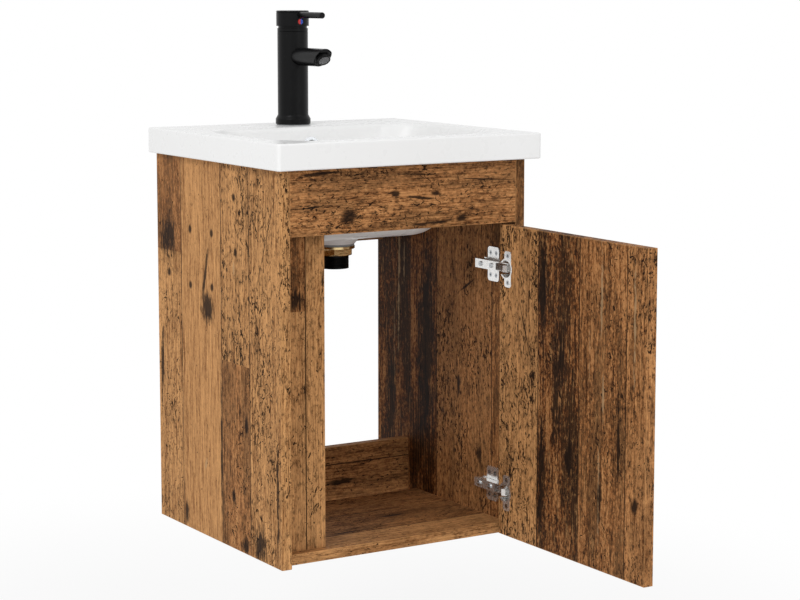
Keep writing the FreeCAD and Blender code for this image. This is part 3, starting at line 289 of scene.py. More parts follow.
class VanityStage(bpy.types.PropertyGroup):
    floor_z: bpy.props.FloatProperty(
        name="Floor", description="Height of the floor under the hung unit", unit="LENGTH", default=-0.709)
    floor_size: bpy.props.FloatProperty(
        name="Floor size", description="Length of the floor's sides", unit="LENGTH", default=14.0, min=0)
    fade_start: bpy.props.FloatProperty(
        name="Fade start", description="Where the floor begins to turn white", unit="LENGTH",
        default=0.75, min=0)
    fade_end: bpy.props.FloatProperty(
        name="Fade end", description="Where the floor is white", unit="LENGTH", default=1.5, min=0)
    sky: bpy.props.FloatProperty(
        name="Sky", description="Strength of the even studio light", default=0.70, min=0)
    key: bpy.props.FloatProperty(
        name="Key", description="Power of the lamp on the left", default=42.0, min=0)
    key_place: bpy.props.FloatVectorProperty(
        name="Key place", description="Place of the lamp on the left", subtype="TRANSLATION", size=3,
        default=(-2.6, -1.6, 1.9))
    key_size: bpy.props.FloatProperty(
        name="Key size", description="Width of the lamp on the left", unit="LENGTH", default=1.3, min=0)
    fill: bpy.props.FloatProperty(
        name="Fill", description="Power of the lamp in front", default=17.0, min=0)
    fill_place: bpy.props.FloatVectorProperty(
        name="Fill place", description="Place of the lamp in front", subtype="TRANSLATION", size=3,
        default=(0.9, -3.2, 1.2))
    fill_size: bpy.props.FloatProperty(
        name="Fill size", description="Width of the lamp in front", unit="LENGTH", default=1.8, min=0)
    aim: bpy.props.FloatVectorProperty(
        name="Aim", description="Where both lamps point", subtype="TRANSLATION", size=3,
        default=(0.0, -0.2, -0.1))
    eye: bpy.props.FloatVectorProperty(
        name="Eye", description="Place of the camera", subtype="TRANSLATION", size=3,
        default=(-1.5473, -2.8531, 0.3464))
    yaw: bpy.props.FloatProperty(
        name="Yaw", description="Camera's turn to the right", subtype="ANGLE", default=0.555)
    pitch: bpy.props.FloatProperty(
        name="Pitch", description="Camera's tilt down", subtype="ANGLE", default=0.127)
    lens: bpy.props.FloatProperty(
        name="Lens", description="Focal length in millimetres", default=97.04, min=1)
    sensor: bpy.props.FloatProperty(
        name="Sensor", description="Width of the camera's sensor in millimetres", default=36.0, min=1)
    rise: bpy.props.FloatProperty(name="Rise", description="Vertical shift of the frame", default=-0.05)


# Node helpers

def wire(tree, node, wires):
    """Links a node's inputs to sockets, or sets their values."""
    for slot, source in wires.items():
        if isinstance(source, bpy.types.NodeSocket):
            tree.links.new(source, node.inputs[slot])
        else:
            node.inputs[slot].default_value = source


def put(tree, kind, wires=None, **settings):
    """Adds one shader node, sets its fields, and wires or sets its inputs."""
    node = tree.nodes.new("ShaderNode" + kind)
    for key, value in settings.items():
        setattr(node, key, value)
    wire(tree, node, wires or {})
    return node


def calc(tree, operation, first, second=0.0, clamp=False):
    """One step of arithmetic on one or two numbers."""
    return put(tree, "Math", {0: first, 1: second}, operation=operation, use_clamp=clamp).outputs[0]


def times(tree, first, second):
    return calc(tree, "MULTIPLY", first, second)


def vector(tree, operation, first, second):
    """One step of arithmetic on two vectors."""
    return put(tree, "VectorMath", {0: first, 1: second}, operation=operation).outputs[0]


def length(tree, place):
    return put(tree, "VectorMath", {0: place}, operation="LENGTH").outputs["Value"]


def turned(tree, place, angle):
    """A place turned in the plane of a board's face."""
    return put(tree, "VectorRotate", {"Vector": place, "Angle": angle}, rotation_type="Y_AXIS").outputs[0]


def ease(tree, value, low, high, start=0.0, end=1.0):
    """A smooth step from start to end as value runs from low to high."""
    wires = {"Value": value, "From Min": low, "From Max": high, "To Min": start, "To Max": end}
    return put(tree, "MapRange", wires, interpolation_type="SMOOTHSTEP").outputs[0]


def tint(tree, factor, first, second, blend="MIX"):
    """A colour between two."""
    node = put(tree, "Mix", {0: factor, 6: first, 7: second}, data_type="RGBA", blend_type=blend)
    return node.outputs[2]


def strongest(tree, masks):
    """The largest of several masks."""
    most = masks[0]
    for mask in masks[1:]:
        most = calc(tree, "MAXIMUM", most, mask)
    return most


def grain(tree, place, scale, detail=2.0, rough=0.5):
    """Even noise, in cycles per metre."""
    wires = {"Vector": place, "Scale": scale, "Detail": detail, "Roughness": rough}
    return put(tree, "TexNoise", wires).outputs["Fac"]


def figure(tree, place, across, along, detail=2.0, rough=0.5):
    """Noise drawn out along the fibres, in cycles per metre across and along them."""
    return grain(tree, vector(tree, "MULTIPLY", place, (across, across, along)), 1.0, detail, rough)


def swing(tree, noise):
    """A noise counted from its middle."""
    return calc(tree, "SUBTRACT", noise, 0.5)


def sway(tree, parts):
    """0.5 plus the weighted swing of each noise."""
    total = 0.5
    for noise, weight in parts:
        total = calc(tree, "ADD", total, times(tree, swing(tree, noise), weight))
    return total


def contour(tree, noise, inner, outer):
    """A thin line where a noise passes its middle."""
    return ease(tree, calc(tree, "ABSOLUTE", swing(tree, noise)), inner, outer, 1.0, 0.0)


def ramp(tree, factor, stops, interpolation="LINEAR"):
    """A colour ramp with the given stops."""
    node = put(tree, "ValToRGB", {0: factor})
    band = node.color_ramp
    band.interpolation = interpolation
    while len(band.elements) < len(stops):
        band.elements.new(1.0)
    for element, (place, colour) in zip(band.elements, stops):
        element.position = place
        element.color = (*colour, 1.0)
    return node.outputs[0]


def shade(colour, share):
    """A colour made darker or lighter."""
    return [min(1.0, c * share) for c in colour]


def between(first, second, share):
    """The colour that lies a share of the way from the first to the second."""
    return [(1.0 - share) * a + share * b for a, b in zip(first, second)]


def new_group(name, inputs, outputs):
    """An empty node group, with its input and output sockets."""
    tree = bpy.data.node_groups.new(name, "ShaderNodeTree")
    kinds = {"v": "NodeSocketVector", "f": "NodeSocketFloat", "c": "NodeSocketColor"}
    for title, kind in inputs:
        tree.interface.new_socket(title, in_out="INPUT", socket_type=kinds[kind])
    for title, kind in outputs:
        tree.interface.new_socket(title, in_out="OUTPUT", socket_type=kinds[kind])
    start = tree.nodes.new("NodeGroupInput")
    end = tree.nodes.new("NodeGroupOutput")
    return tree, start.outputs, end.inputs


def use_group(tree, group, wires):
    """Puts a node group into a tree."""
    node = tree.nodes.new("ShaderNodeGroup")
    node.node_tree = group
    wire(tree, node, wires)
    return node.outputs


def new_material(name):
    """An empty material with its shader and its object coordinates."""
    material = bpy.data.materials.new(name)
    material.use_nodes = True
    tree = material.node_tree
    tree.nodes.clear()
    out = put(tree, "OutputMaterial")
    shader = put(tree, "BsdfPrincipled")
    tree.links.new(shader.outputs[0], out.inputs[0])
    place = put(tree, "TexCoord").outputs["Object"]
    return material, tree, shader, place


def finish(tree, shader, colour, rough, relief, strength, distance):
    """Wires a colour, a roughness and a fine relief to a shader."""
    bump = put(tree, "Bump", {"Height": relief, "Strength": strength, "Distance": distance})
    wire(tree, shader, {"Base Color": colour, "Roughness": rough, "Normal": bump.outputs[0]})


# Aged board decor

def plank_figure(tree, look, place, bent, tone, streak, fibre):
    """The plank's own colour: faint fine lines on pale wood, torn zones and speckle on dark wood."""
    broad = figure(tree, bent, 34.0, 2.2, 7.0, 0.68)
    mottle = figure(tree, place, 58.0, 30.0, 7.0, 0.74)
    zones = figure(tree, bent, 25.0, 4.2, 4.0, 0.55)
    torn = figure(tree, bent, 60.0, 11.0, 8.0, 0.76)
    speckle = figure(tree, place, 330.0, 170.0, 3.0, 0.7)
    smooth = sway(tree, [(broad, 0.40), (streak, 0.42), (fibre, 0.70), (speckle, 0.35), (mottle, 0.30)])
    rough = sway(tree, [(zones, 0.84), (torn, 0.60), (speckle, 0.66), (streak, 0.42), (fibre, 0.40)])
    pale = ramp(tree, smooth, [
        (0.34, shade(look.worn, 0.8)), (0.43, between(look.pale, look.worn, 0.38)), (0.51, look.pale),
        (0.64, shade(look.pale, 1.28))])
    dark = ramp(tree, rough, [
        (0.425, look.black), (0.48, between(look.brown, look.black, 0.82)), (0.53, look.brown),
        (0.575, look.worn), (0.65, shade(look.pale, 0.68))])
    colour = tint(tree, tone, pale, dark)
    return tint(tree, ease(tree, tone, 0.15, 0.45), colour, (1.0, 0.91, 0.87, 1.0), "MULTIPLY")


def growth_lines(tree, place, bent, wear):
    """Mask of wavy year rings, strongest on smooth planks."""
    across = put(tree, "SeparateXYZ", {0: bent}).outputs[0]
    arch = figure(tree, place, 7.0, 1.2, 1.0)
    phase = calc(tree, "ADD", times(tree, across, 1500.0), times(tree, arch, 46.0))
    ring = ease(tree, calc(tree, "SINE", phase), 0.55, 1.0)
    return times(tree, ring, ease(tree, wear, 0.05, 0.6, 0.78, 0.24))


def scuffs(tree, bent, tone, wear):
    """Mask of pale scuffs on dark wood."""
    patch = figure(tree, bent, 170.0, 17.0, 6.0, 0.70)
    return times(tree, ease(tree, patch, 0.565, 0.63), times(tree, tone, wear))


def chips(tree, place, wear):
    """Masks of the small chips that break battered planks, and of the fresh wood beside them."""
    patch = figure(tree, place, 210.0, 105.0, 6.0, 0.74)
    deep = times(tree, ease(tree, patch, 0.53, 0.60), times(tree, wear, 0.84))
    fresh = times(tree, ease(tree, patch, 0.45, 0.38), times(tree, wear, 0.38))
    return deep, fresh


def gouges(tree, place, wear):
    """Mask of slanted flecks and worm tracks in clusters, more of them where the plank is battered."""
    cluster = ease(tree, figure(tree, place, 21.0, 11.0), 0.40, 0.60, 0.12, 1.0)
    amount = times(tree, wear, cluster)
    found = []
    for turn, across, along, reach in FLECKS:
        fleck = figure(tree, turned(tree, place, math.radians(turn)), across, along)
        start = calc(tree, "SUBTRACT", 0.745, times(tree, amount, reach))
        found.append(ease(tree, calc(tree, "SUBTRACT", fleck, start), 0.0, 0.024))
    track = contour(tree, figure(tree, place, 92.0, 56.0), 0.006, 0.026)
    piece = ease(tree, figure(tree, place, 140.0, 85.0), 0.545, 0.605)
    found.append(times(tree, times(tree, track, piece), ease(tree, amount, 0.3, 0.9)))
    return strongest(tree, found)


def grime_patches(tree, place, wear):
    """Mask of dirt that has settled on worn wood."""
    patch = figure(tree, place, 44.0, 17.0, 8.0, 0.76)
    return times(tree, ease(tree, patch, 0.52, 0.62), calc(tree, "ADD", times(tree, wear, 0.62), 0.03))


def long_cracks(tree, place, bent, wear):
    """Mask of long cracks that follow the fibres."""
    vein = contour(tree, figure(tree, bent, 48.0, 3.2, 5.0, 0.6), 0.0, 0.012)
    veil = ease(tree, figure(tree, place, 13.0, 5.0), 0.46, 0.60)
    return times(tree, times(tree, vein, veil), calc(tree, "ADD", times(tree, wear, 0.75), 0.22))


def plank_group(look):
    """The wood of one plank, from its tone and its wear."""
    tree, given, gives = new_group(
        "plank_wood", [("Place", "v"), ("Tone", "f"), ("Wear", "f")],
        [("Colour", "c"), ("Height", "f"), ("Rough", "f")])
    place, tone, wear = given["Place"], given["Tone"], given["Wear"]
    black = (*look.black, 1.0)
    shift = times(tree, swing(tree, figure(tree, place, 9.0, 2.4, 3.0)), 0.020)
    bent = vector(tree, "ADD", place, put(tree, "CombineXYZ", {0: shift}).outputs[0])
    streak = figure(tree, bent, 230.0, 8.0, 4.0, 0.62)
    fibre = figure(tree, bent, 900.0, 30.0)
    colour = plank_figure(tree, look, place, bent, tone, streak, fibre)
    colour = tint(tree, growth_lines(tree, place, bent, wear), colour, (*look.worn, 1.0))
    colour = tint(tree, scuffs(tree, bent, tone, wear), colour, (*shade(look.pale, 0.72), 1.0))
    chip, fresh = chips(tree, place, wear)
    colour = tint(tree, chip, colour, black)
    colour = tint(tree, fresh, colour, (*shade(look.pale, 1.28), 1.0))
    gouge = gouges(tree, place, wear)
    grime = grime_patches(tree, place, wear)
    crack = long_cracks(tree, place, bent, wear)
    for mask, strength in ((gouge, 0.95), (grime, 0.58), (crack, 0.80)):
        colour = tint(tree, times(tree, mask, strength), colour, black)
    tree.links.new(colour, gives["Colour"])
    height = calc(tree, "SUBTRACT", times(tree, streak, 0.30), strongest(tree, [gouge, crack]))
    tree.links.new(height, gives["Height"])
    dull = calc(tree, "ADD", 0.52, times(tree, strongest(tree, [gouge, grime]), 0.18))
    tree.links.new(calc(tree, "ADD", dull, times(tree, fibre, 0.12)), gives["Rough"])
    return tree


def mark_group():
    """One knot, nail hole or crack: a turned oval with a ragged, fibrous rim."""
    tree, given, gives = new_group(
        "board_mark",
        [("Place", "v"), ("Centre", "v"), ("Size", "v"), ("Turn", "f"), ("Ragged", "f")], [("Mark", "f")])
    place = given["Place"]
    offset = turned(tree, vector(tree, "SUBTRACT", place, given["Centre"]), given["Turn"])
    far = length(tree, vector(tree, "DIVIDE", offset, given["Size"]))
    rag = swing(tree, figure(tree, place, 120.0, 52.0, 5.0, 0.7))
    line = swing(tree, figure(tree, place, 420.0, 42.0, 3.0, 0.6))
    rough = calc(tree, "ADD", rag, times(tree, line, 0.8))
    far = calc(tree, "ADD", far, times(tree, rough, times(tree, given["Ragged"], 2.0)))
    tree.links.new(ease(tree, far, 0.45, 1.15, 1.0, 0.0), gives["Mark"])
    return tree


def edge_group():
    """How near a place is to an edge of the board's own box."""
    tree, given, gives = new_group(
        "board_edge", [("Place", "v"), ("Low", "v"), ("High", "v")], [("Edge", "f")])
    low = put(tree, "SeparateXYZ", {0: vector(tree, "SUBTRACT", given["Place"], given["Low"])}).outputs
    high = put(tree, "SeparateXYZ", {0: vector(tree, "SUBTRACT", given["High"], given["Place"])}).outputs
    near = [calc(tree, "MINIMUM", low[k], high[k]) for k in range(3)]
    inner = calc(tree, "MINIMUM", calc(tree, "MAXIMUM", near[0], near[1]), near[2])
    middle = calc(tree, "MAXIMUM", calc(tree, "MINIMUM", near[0], near[1]), inner)
    tree.links.new(ease(tree, middle, 0.0003, 0.0016, 1.0, 0.0), gives["Edge"])
    return tree


def aged_board(node, groups, look):
    """The printed plank decor of one board."""
    decor = BOARDS[node]
    plank, mark, edge = groups
    material, tree, shader, place = new_material("aged_" + node)
    low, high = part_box(node)
    a = "XYZ".index(decor["across"])
    g = "XYZ".index(decor["grain"])
    d = 3 - a - g
    part = put(tree, "SeparateXYZ", {0: place}).outputs
    board = put(tree, "CombineXYZ", {0: part[a], 1: part[d], 2: part[g]}).outputs[0]
    width = high[a] - low[a]
    centre = (low[d] + high[d]) / 2
    middle = (low[g] + high[g]) / 2 / MM
    reach = (high[g] - low[g]) / MM
    share = put(tree, "MapRange", {"Value": part[a], "From Min": low[a], "From Max": high[a]}).outputs[0]

    def layout(planks):
        """Tone, wear and seed of the plank at each place."""
        stops = [(max(0.0, (start * MM - low[a]) / width), traits) for start, *traits in planks]
        return ramp(tree, share, stops, "CONSTANT")

    def spotted(spots):
        """Mask of all marks of a list."""
        masks = []
        for x, y, wide, long, turn, ragged in spots:
            masks.append(use_group(tree, mark, {
                "Place": board, "Centre": (x * MM, centre, y * MM), "Size": (wide * MM, 10.0, long * MM),
                "Turn": math.radians(turn), "Ragged": ragged})[0])
        return strongest(tree, masks)

    kind = layout(decor["planks"])
    for start, planks in decor.get("above", []):
        upper = calc(tree, "GREATER_THAN", part[g], start * MM)
        kind = tint(tree, upper, kind, layout(planks))
    tone, wear, seed = put(tree, "SeparateColor", {0: kind}).outputs
    lift = put(tree, "CombineXYZ", {0: times(tree, seed, 3.1), 1: seed, 2: times(tree, seed, 7.7)})
    own = vector(tree, "ADD", board, lift.outputs[0])
    wood = use_group(tree, plank, {"Place": own, "Tone": tone, "Wear": wear})

    nails = [(x, y, *NAIL) for x, y in decor.get("nails", [])]
    seams = [(start, middle, SEAM_HALF, reach * 2, 0, SEAM_RAGGED) for start, *_ in decor["planks"][1:]]
    dark = spotted(nails + decor["marks"] + seams)
    colour = wood["Colour"]
    if "scrapes" in decor:
        bare = times(tree, spotted(decor["scrapes"]), 0.62)
        colour = tint(tree, bare, colour, (*look.bare, 1.0))
    colour = tint(tree, times(tree, dark, 0.92), colour, (*look.black, 1.0))
    rim = use_group(tree, edge, {"Place": place, "Low": low, "High": high})[0]
    # Paler edges: partly a worn edge band, partly a painted highlight where the rounded edge catches light
    colour = tint(tree, times(tree, rim, 0.30), colour, (*shade(look.pale, 1.1), 1.0))
    height = calc(tree, "SUBTRACT", wood["Height"], dark)
    finish(tree, shader, colour, wood["Rough"], height, 0.35, 0.0005)
    shader.inputs["Specular IOR Level"].default_value = 0.06
    return material


# Glaze, coat, metal, rubber and plastic

def glaze(look):
    """White glaze with a faint cloud and a very shallow wave."""
    material, tree, shader, place = new_material("white_glaze")
    low = (look.glaze[0] * 0.985, look.glaze[1] * 0.987, look.glaze[2] * 0.990, 1.0)
    colour = tint(tree, grain(tree, place, 9.0, 3.0), low, (*look.glaze, 1.0))
    rough = ease(tree, grain(tree, place, 48.0, 2.0), 0.3, 0.8, 0.27, 0.30)
    finish(tree, shader, colour, rough, grain(tree, place, 16.0, 1.0), 0.02, 0.0010)
    shader.inputs["Specular IOR Level"].default_value = 0.32
    return material


def coated(look):
    """Matt black coat with a fine peel."""
    material, tree, shader, place = new_material("matt_black_coat")
    cloud = grain(tree, place, 60.0, 3.0)
    colour = tint(tree, cloud, (*look.coat, 1.0), (*shade(look.coat, 1.7), 1.0))
    peel = grain(tree, place, 1500.0, 2.0)
    finish(tree, shader, colour, ease(tree, peel, 0.2, 0.8, 0.26, 0.36), peel, 0.16, 0.0002)
    shader.inputs["Specular IOR Level"].default_value = 0.13
    return material


def plated(name, colour, smooth, rough, brush, metal=1.0):
    """Plated sheet or turned metal; brush stretches the polishing lines along X, Y and Z."""
    material, tree, shader, place = new_material(name)
    shader.inputs["Metallic"].default_value = metal
    line = grain(tree, vector(tree, "MULTIPLY", place, brush), 1.0, 3.0, 0.6)
    cloud = grain(tree, place, 170.0, 3.0)
    mixed = tint(tree, cloud, (*shade(colour, 0.84), 1.0), (*colour, 1.0))
    finish(tree, shader, mixed, ease(tree, line, 0.25, 0.75, smooth, rough), line, 0.10, 0.0001)
    return material


def moulded(name, colour, rough, spread):
    """Rubber, plastic or enamel with a fine skin; spread is how much darker its clouds are."""
    material, tree, shader, place = new_material(name)
    cloud = grain(tree, place, 140.0, 4.0)
    mixed = tint(tree, cloud, (*shade(colour, 1.0 - spread), 1.0), (*colour, 1.0))
    skin = grain(tree, place, 2200.0, 2.0)
    finish(tree, shader, mixed, ease(tree, skin, 0.2, 0.8, rough * 0.85, rough * 1.15), skin, 0.10, 0.0001)
    return material


# Modelling helpers

def select_only(piece):
    bpy.ops.object.select_all(action="DESELECT")
    piece.select_set(True)
    bpy.context.view_layer.objects.active = piece


def named(name):
    """Names the piece that was just added, and its mesh."""
    piece = bpy.context.view_layer.objects.active
    piece.name = name
    piece.data.name = name
    return piece


def pick(piece, kind, wanted):
    """In edit mode, selects the points, edges or faces that pass a test."""
    bpy.ops.mesh.select_mode(type=kind)
    bpy.ops.mesh.select_all(action="DESELECT")
    mesh = bmesh.from_edit_mesh(piece.data)
    for part in {"VERT": mesh.verts, "EDGE": mesh.edges, "FACE": mesh.faces}[kind]:
        part.select_set(wanted(part))
    mesh.select_flush_mode()
    bmesh.update_edit_mesh(piece.data)


def weld_copy(node, name):
    """A separate copy of a CAD node with its triangles welded and flat faces joined."""
    select_only(NODES[node])
    bpy.ops.object.duplicate()
    piece = named(name)
    piece.data.materials.clear()
    for key in list(piece.keys()):
        del piece[key]
    bpy.ops.mesh.customdata_custom_splitnormals_clear()
    bpy.ops.object.mode_set(mode="EDIT")
    bpy.ops.mesh.select_all(action="SELECT")
    bpy.ops.mesh.remove_doubles(threshold=WELD)
    bpy.ops.mesh.dissolve_limited(angle_limit=math.radians(0.4))
    bpy.ops.object.mode_set(mode="OBJECT")
    return piece


def round_edges(piece, width, shortest=0.0, angle=50.0, segments=2, inside=EVERYWHERE):
    """Bevels the sharp edges of a piece that are long enough and lie inside a box."""
    def sharp(e):
        middle = (e.verts[0].co + e.verts[1].co) / 2
        boxed = all(low < m < high for low, m, high in zip(inside[0], middle, inside[1]))
        folded = len(e.link_faces) == 2 and e.calc_face_angle(0.0) > math.radians(angle)
        return boxed and folded and e.calc_length() > shortest

    select_only(piece)
    bpy.ops.object.mode_set(mode="EDIT")
    pick(piece, "EDGE", sharp)
    bpy.ops.mesh.bevel(offset=width, segments=segments, profile=0.6, affect="EDGES", clamp_overlap=True)
    bpy.ops.mesh.select_all(action="SELECT")
    bpy.ops.mesh.remove_doubles(threshold=BEVEL_WELD)
    bpy.ops.object.mode_set(mode="OBJECT")


def close_piece(piece, node, material):
    """Shades a finished copy and lets it stand for its CAD node."""
    select_only(piece)
    bpy.ops.object.shade_smooth_by_angle(angle=math.radians(32.0))
    even = piece.modifiers.new("even", "WEIGHTED_NORMAL")
    even.keep_sharp = True
    bpy.ops.object.modifier_apply(modifier=even.name)
    piece.data.materials.append(material)
    body = NODES[node]["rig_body"]
    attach(piece, body)
    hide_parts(node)


def dress(node, material, width, shortest=0.0):
    """Copies a CAD node, rounds its edges and gives it its finish."""
    piece = weld_copy(node, node + "_piece")
    if width > 0:
        round_edges(piece, width, shortest)
    close_piece(piece, node, material)


def paint(node, material):
    """Gives a CAD node that stays as it is its finish."""
    mesh = NODES[node].data
    mesh.materials.clear()
    mesh.materials.append(material)


def middle_of(node):
    low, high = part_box(node)
    return Vector([(a + b) / 2 for a, b in zip(low, high)])


def turn_grooves(piece, axis, heights, half, depth):
    """Turns V-shaped grooves into the outside of a round piece, around its upright axis."""
    same_level = 0.00002
    rim_width = 0.0003

    def far(v):
        return math.hypot(v.co.x - axis.x, v.co.y - axis.y)

    select_only(piece)
    bpy.ops.object.mode_set(mode="EDIT")
    for height in heights:
        for level in (height - half, height, height + half):
            bpy.ops.mesh.select_all(action="SELECT")
            bpy.ops.mesh.bisect(
                plane_co=(axis.x, axis.y, level), plane_no=(0.0, 0.0, 1.0), threshold=GROOVE_CUT)
        points = bmesh.from_edit_mesh(piece.data).verts
        radius = max(far(v) for v in points if abs(v.co.z - height) < same_level)
        pick(piece, "VERT", lambda v: abs(v.co.z - height) < same_level and far(v) > radius - rim_width)
        share = 1.0 - depth / radius
        bpy.ops.transform.resize(value=(share, share, 1.0), center_override=(axis.x, axis.y, height))
    bpy.ops.object.mode_set(mode="OBJECT")


def islands(mesh):
    """The separate bodies of a mesh, as lists of places."""
    work = bmesh.new()
    work.from_mesh(mesh)
    known = set()
    found = []
    for first in work.verts:
        if first in known:
            continue
        known.add(first)
        stack = [first]
        body = []
        while stack:
            v = stack.pop()
            body.append(v.co.copy())
            near = [e.other_vert(v) for e in v.link_edges]
            fresh = [other for other in near if other not in known]
            known.update(fresh)
            stack.extend(fresh)
        found.append(body)
    work.free()
    return found


def tapered_bar(spot, size, taper=0.7):
    """A bar around a spot that narrows towards +X."""
    bpy.ops.object.select_all(action="DESELECT")
    bpy.ops.mesh.primitive_cube_add(size=1.0, location=spot)
    bar = bpy.context.object
    bar.scale = size
    bpy.ops.object.transform_apply(location=True, rotation=True, scale=True)
    bpy.ops.object.mode_set(mode="EDIT")
    pick(bar, "VERT", lambda v: v.co.x > spot[0])
    bpy.ops.transform.resize(value=(1.0, taper, taper), center_override=spot)
    bpy.ops.object.mode_set(mode="OBJECT")
    return bar


def cross_recesses(piece, span, width, depth):
    """Cuts a crossed driver recess into the head of every screw of a piece; the heads face -X."""
    bars = []
    for body in islands(piece.data):
        face = min(v.x for v in body)
        y = (min(v.y for v in body) + max(v.y for v in body)) / 2
        z = (min(v.z for v in body) + max(v.z for v in body)) / 2
        for size in ((depth * 2, span, width), (depth * 2, width, span)):
            bars.append(tapered_bar((face, y, z), size))
    for bar in bars:
        select_only(piece)
        cut = piece.modifiers.new("recess", "BOOLEAN")
        cut.operation = "DIFFERENCE"
        cut.solver = "EXACT"
        cut.object = bar
        bpy.ops.object.modifier_apply(modifier=cut.name)
    for bar in bars:
        bpy.data.objects.remove(bar)


def aerator_grille(node, name, slant, bar):
    """A round grille of rings and spokes in place of the plain screen disc."""
    rings, spoke_step, spoke_width = 8, 45.0, 7.5
    low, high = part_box(node)
    radius = (high[0] - low[0]) / 2
    step = radius / rings

    def raised(f):
        spot = f.calc_center_median()
        far = spot.to_2d().length
        turn = math.degrees(math.atan2(spot.y, spot.x)) % spoke_step
        on_ring = int(far / step) % 2 == 1
        on_spoke = turn < spoke_width and far > step
        on_top = spot.z > 0.8 * bar and f.normal.z > 0.5 and far > 0.3 * step
        return on_top and (on_ring or on_spoke)

    bpy.ops.object.select_all(action="DESELECT")
    bpy.ops.mesh.primitive_circle_add(vertices=48, radius=radius, fill_type="NGON")
    piece = named(name)
    bpy.ops.object.mode_set(mode="EDIT")
    bpy.ops.mesh.select_mode(type="FACE")
    bpy.ops.mesh.select_all(action="SELECT")
    bpy.ops.mesh.extrude_region_move(TRANSFORM_OT_translate={"value": (0.0, 0.0, bar)})
    for _ in range(rings - 1):
        bpy.ops.mesh.inset(thickness=step, depth=0.0)
    pick(piece, "FACE", raised)
    bpy.ops.mesh.extrude_region_move(TRANSFORM_OT_translate={"value": (0.0, 0.0, bar)})
    bpy.ops.mesh.select_all(action="SELECT")
    bpy.ops.transform.rotate(value=slant - math.pi, orient_axis="X", center_override=(0.0, 0.0, 0.0))
    out = Vector((0.0, -math.sin(slant), -math.cos(slant))) * bar
    bpy.ops.transform.translate(value=middle_of(node) - out)
    bpy.ops.mesh.normals_make_consistent(inside=False)
    bpy.ops.object.mode_set(mode="OBJECT")
    bpy.ops.object.transform_apply(location=True, rotation=True, scale=True)
    return piece


def thread_profile(piece, corners):
    """Opens a new plane into a line through four corners, and stays in edit mode."""
    bpy.ops.object.mode_set(mode="EDIT")
    bpy.ops.mesh.delete(type="ONLY_FACE")
    mesh = bmesh.from_edit_mesh(piece.data)
    line = [list(mesh.verts)[0]]
    while len(line) < len(corners):
        near = [e.other_vert(line[-1]) for e in line[-1].link_edges]
        line.append([v for v in near if v not in line][0])
    for v, corner in zip(line, corners):
        v.co = corner
    closing = [e for e in mesh.edges if line[0] in e.verts and line[-1] in e.verts]
    bmesh.ops.delete(mesh, geom=closing, context="EDGES")
    bmesh.update_edit_mesh(piece.data)


def threaded_rod(node, name, pitch, depth):
    """A screwed rod in place of a plain upright stud; the thread runs down from above the top."""
    low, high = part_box(node)
    centre = middle_of(node)
    radius = (high[0] - low[0]) / 2
    turns = int((high[2] - low[2]) / pitch) + 3
    top = high[2] + pitch * 0.5
    flanks = [(radius - depth, 0.0), (radius, 0.40), (radius, 0.60), (radius - depth, 1.0)]
    bpy.ops.object.select_all(action="DESELECT")
    bpy.ops.mesh.primitive_plane_add(size=1.0)
    piece = named(name)
    thread_profile(piece, [(centre.x + far, centre.y, top + share * pitch) for far, share in flanks])
    bpy.ops.mesh.select_all(action="SELECT")
    bpy.ops.mesh.screw(steps=20, turns=turns, center=(centre.x, centre.y, top), axis=(0.0, 0.0, -1.0))
    bpy.ops.mesh.select_all(action="SELECT")
    bpy.ops.mesh.remove_doubles(threshold=THREAD_WELD)
    for level, is_foot in ((low[2], True), (high[2], False)):
        bpy.ops.mesh.select_all(action="SELECT")
        bpy.ops.mesh.bisect(
            plane_co=(0.0, 0.0, level), plane_no=(0.0, 0.0, 1.0), use_fill=True, clear_inner=is_foot,
            clear_outer=not is_foot, threshold=THREAD_CUT)
    bpy.ops.mesh.select_all(action="SELECT")
    bpy.ops.mesh.normals_make_consistent(inside=False)
    bpy.ops.object.mode_set(mode="OBJECT")
    bpy.ops.object.transform_apply(location=True, rotation=True, scale=True)
    return piece


class VANITY_OT_boards(bpy.types.Operator):
    """Rounds the boards' edges and gives each its plank decor"""
    bl_idname = "vanity.boards"
    bl_label = "Boards and door"

    def execute(self, context):
        look = context.scene.vanity_boards
        groups = plank_group(look), mark_group(), edge_group()
        for node in BOARDS:
            dress(node, aged_board(node, groups, look), look.edge, look.shortest)
        return {"FINISHED"}


class VANITY_OT_basin(bpy.types.Operator):
    """Glazes the basin and plates its overflow ring"""
    bl_idname = "vanity.basin"
    bl_label = "Basin"

    def execute(self, context):
        look = context.scene.vanity_fittings
        form = context.scene.vanity_forms
        basin = weld_copy("ceramic_basin", "ceramic_basin_piece")
        round_edges(basin, form.dish, angle=30.0, segments=3, inside=DISH_BACK)
        close_piece(basin, "ceramic_basin", glaze(look))
        plate = plated("overflow_plate", look.zinc, smooth=0.14, rough=0.24, brush=(600, 600, 600))
        dress("overflow_ring", plate, form.edge)
        return {"FINISHED"}


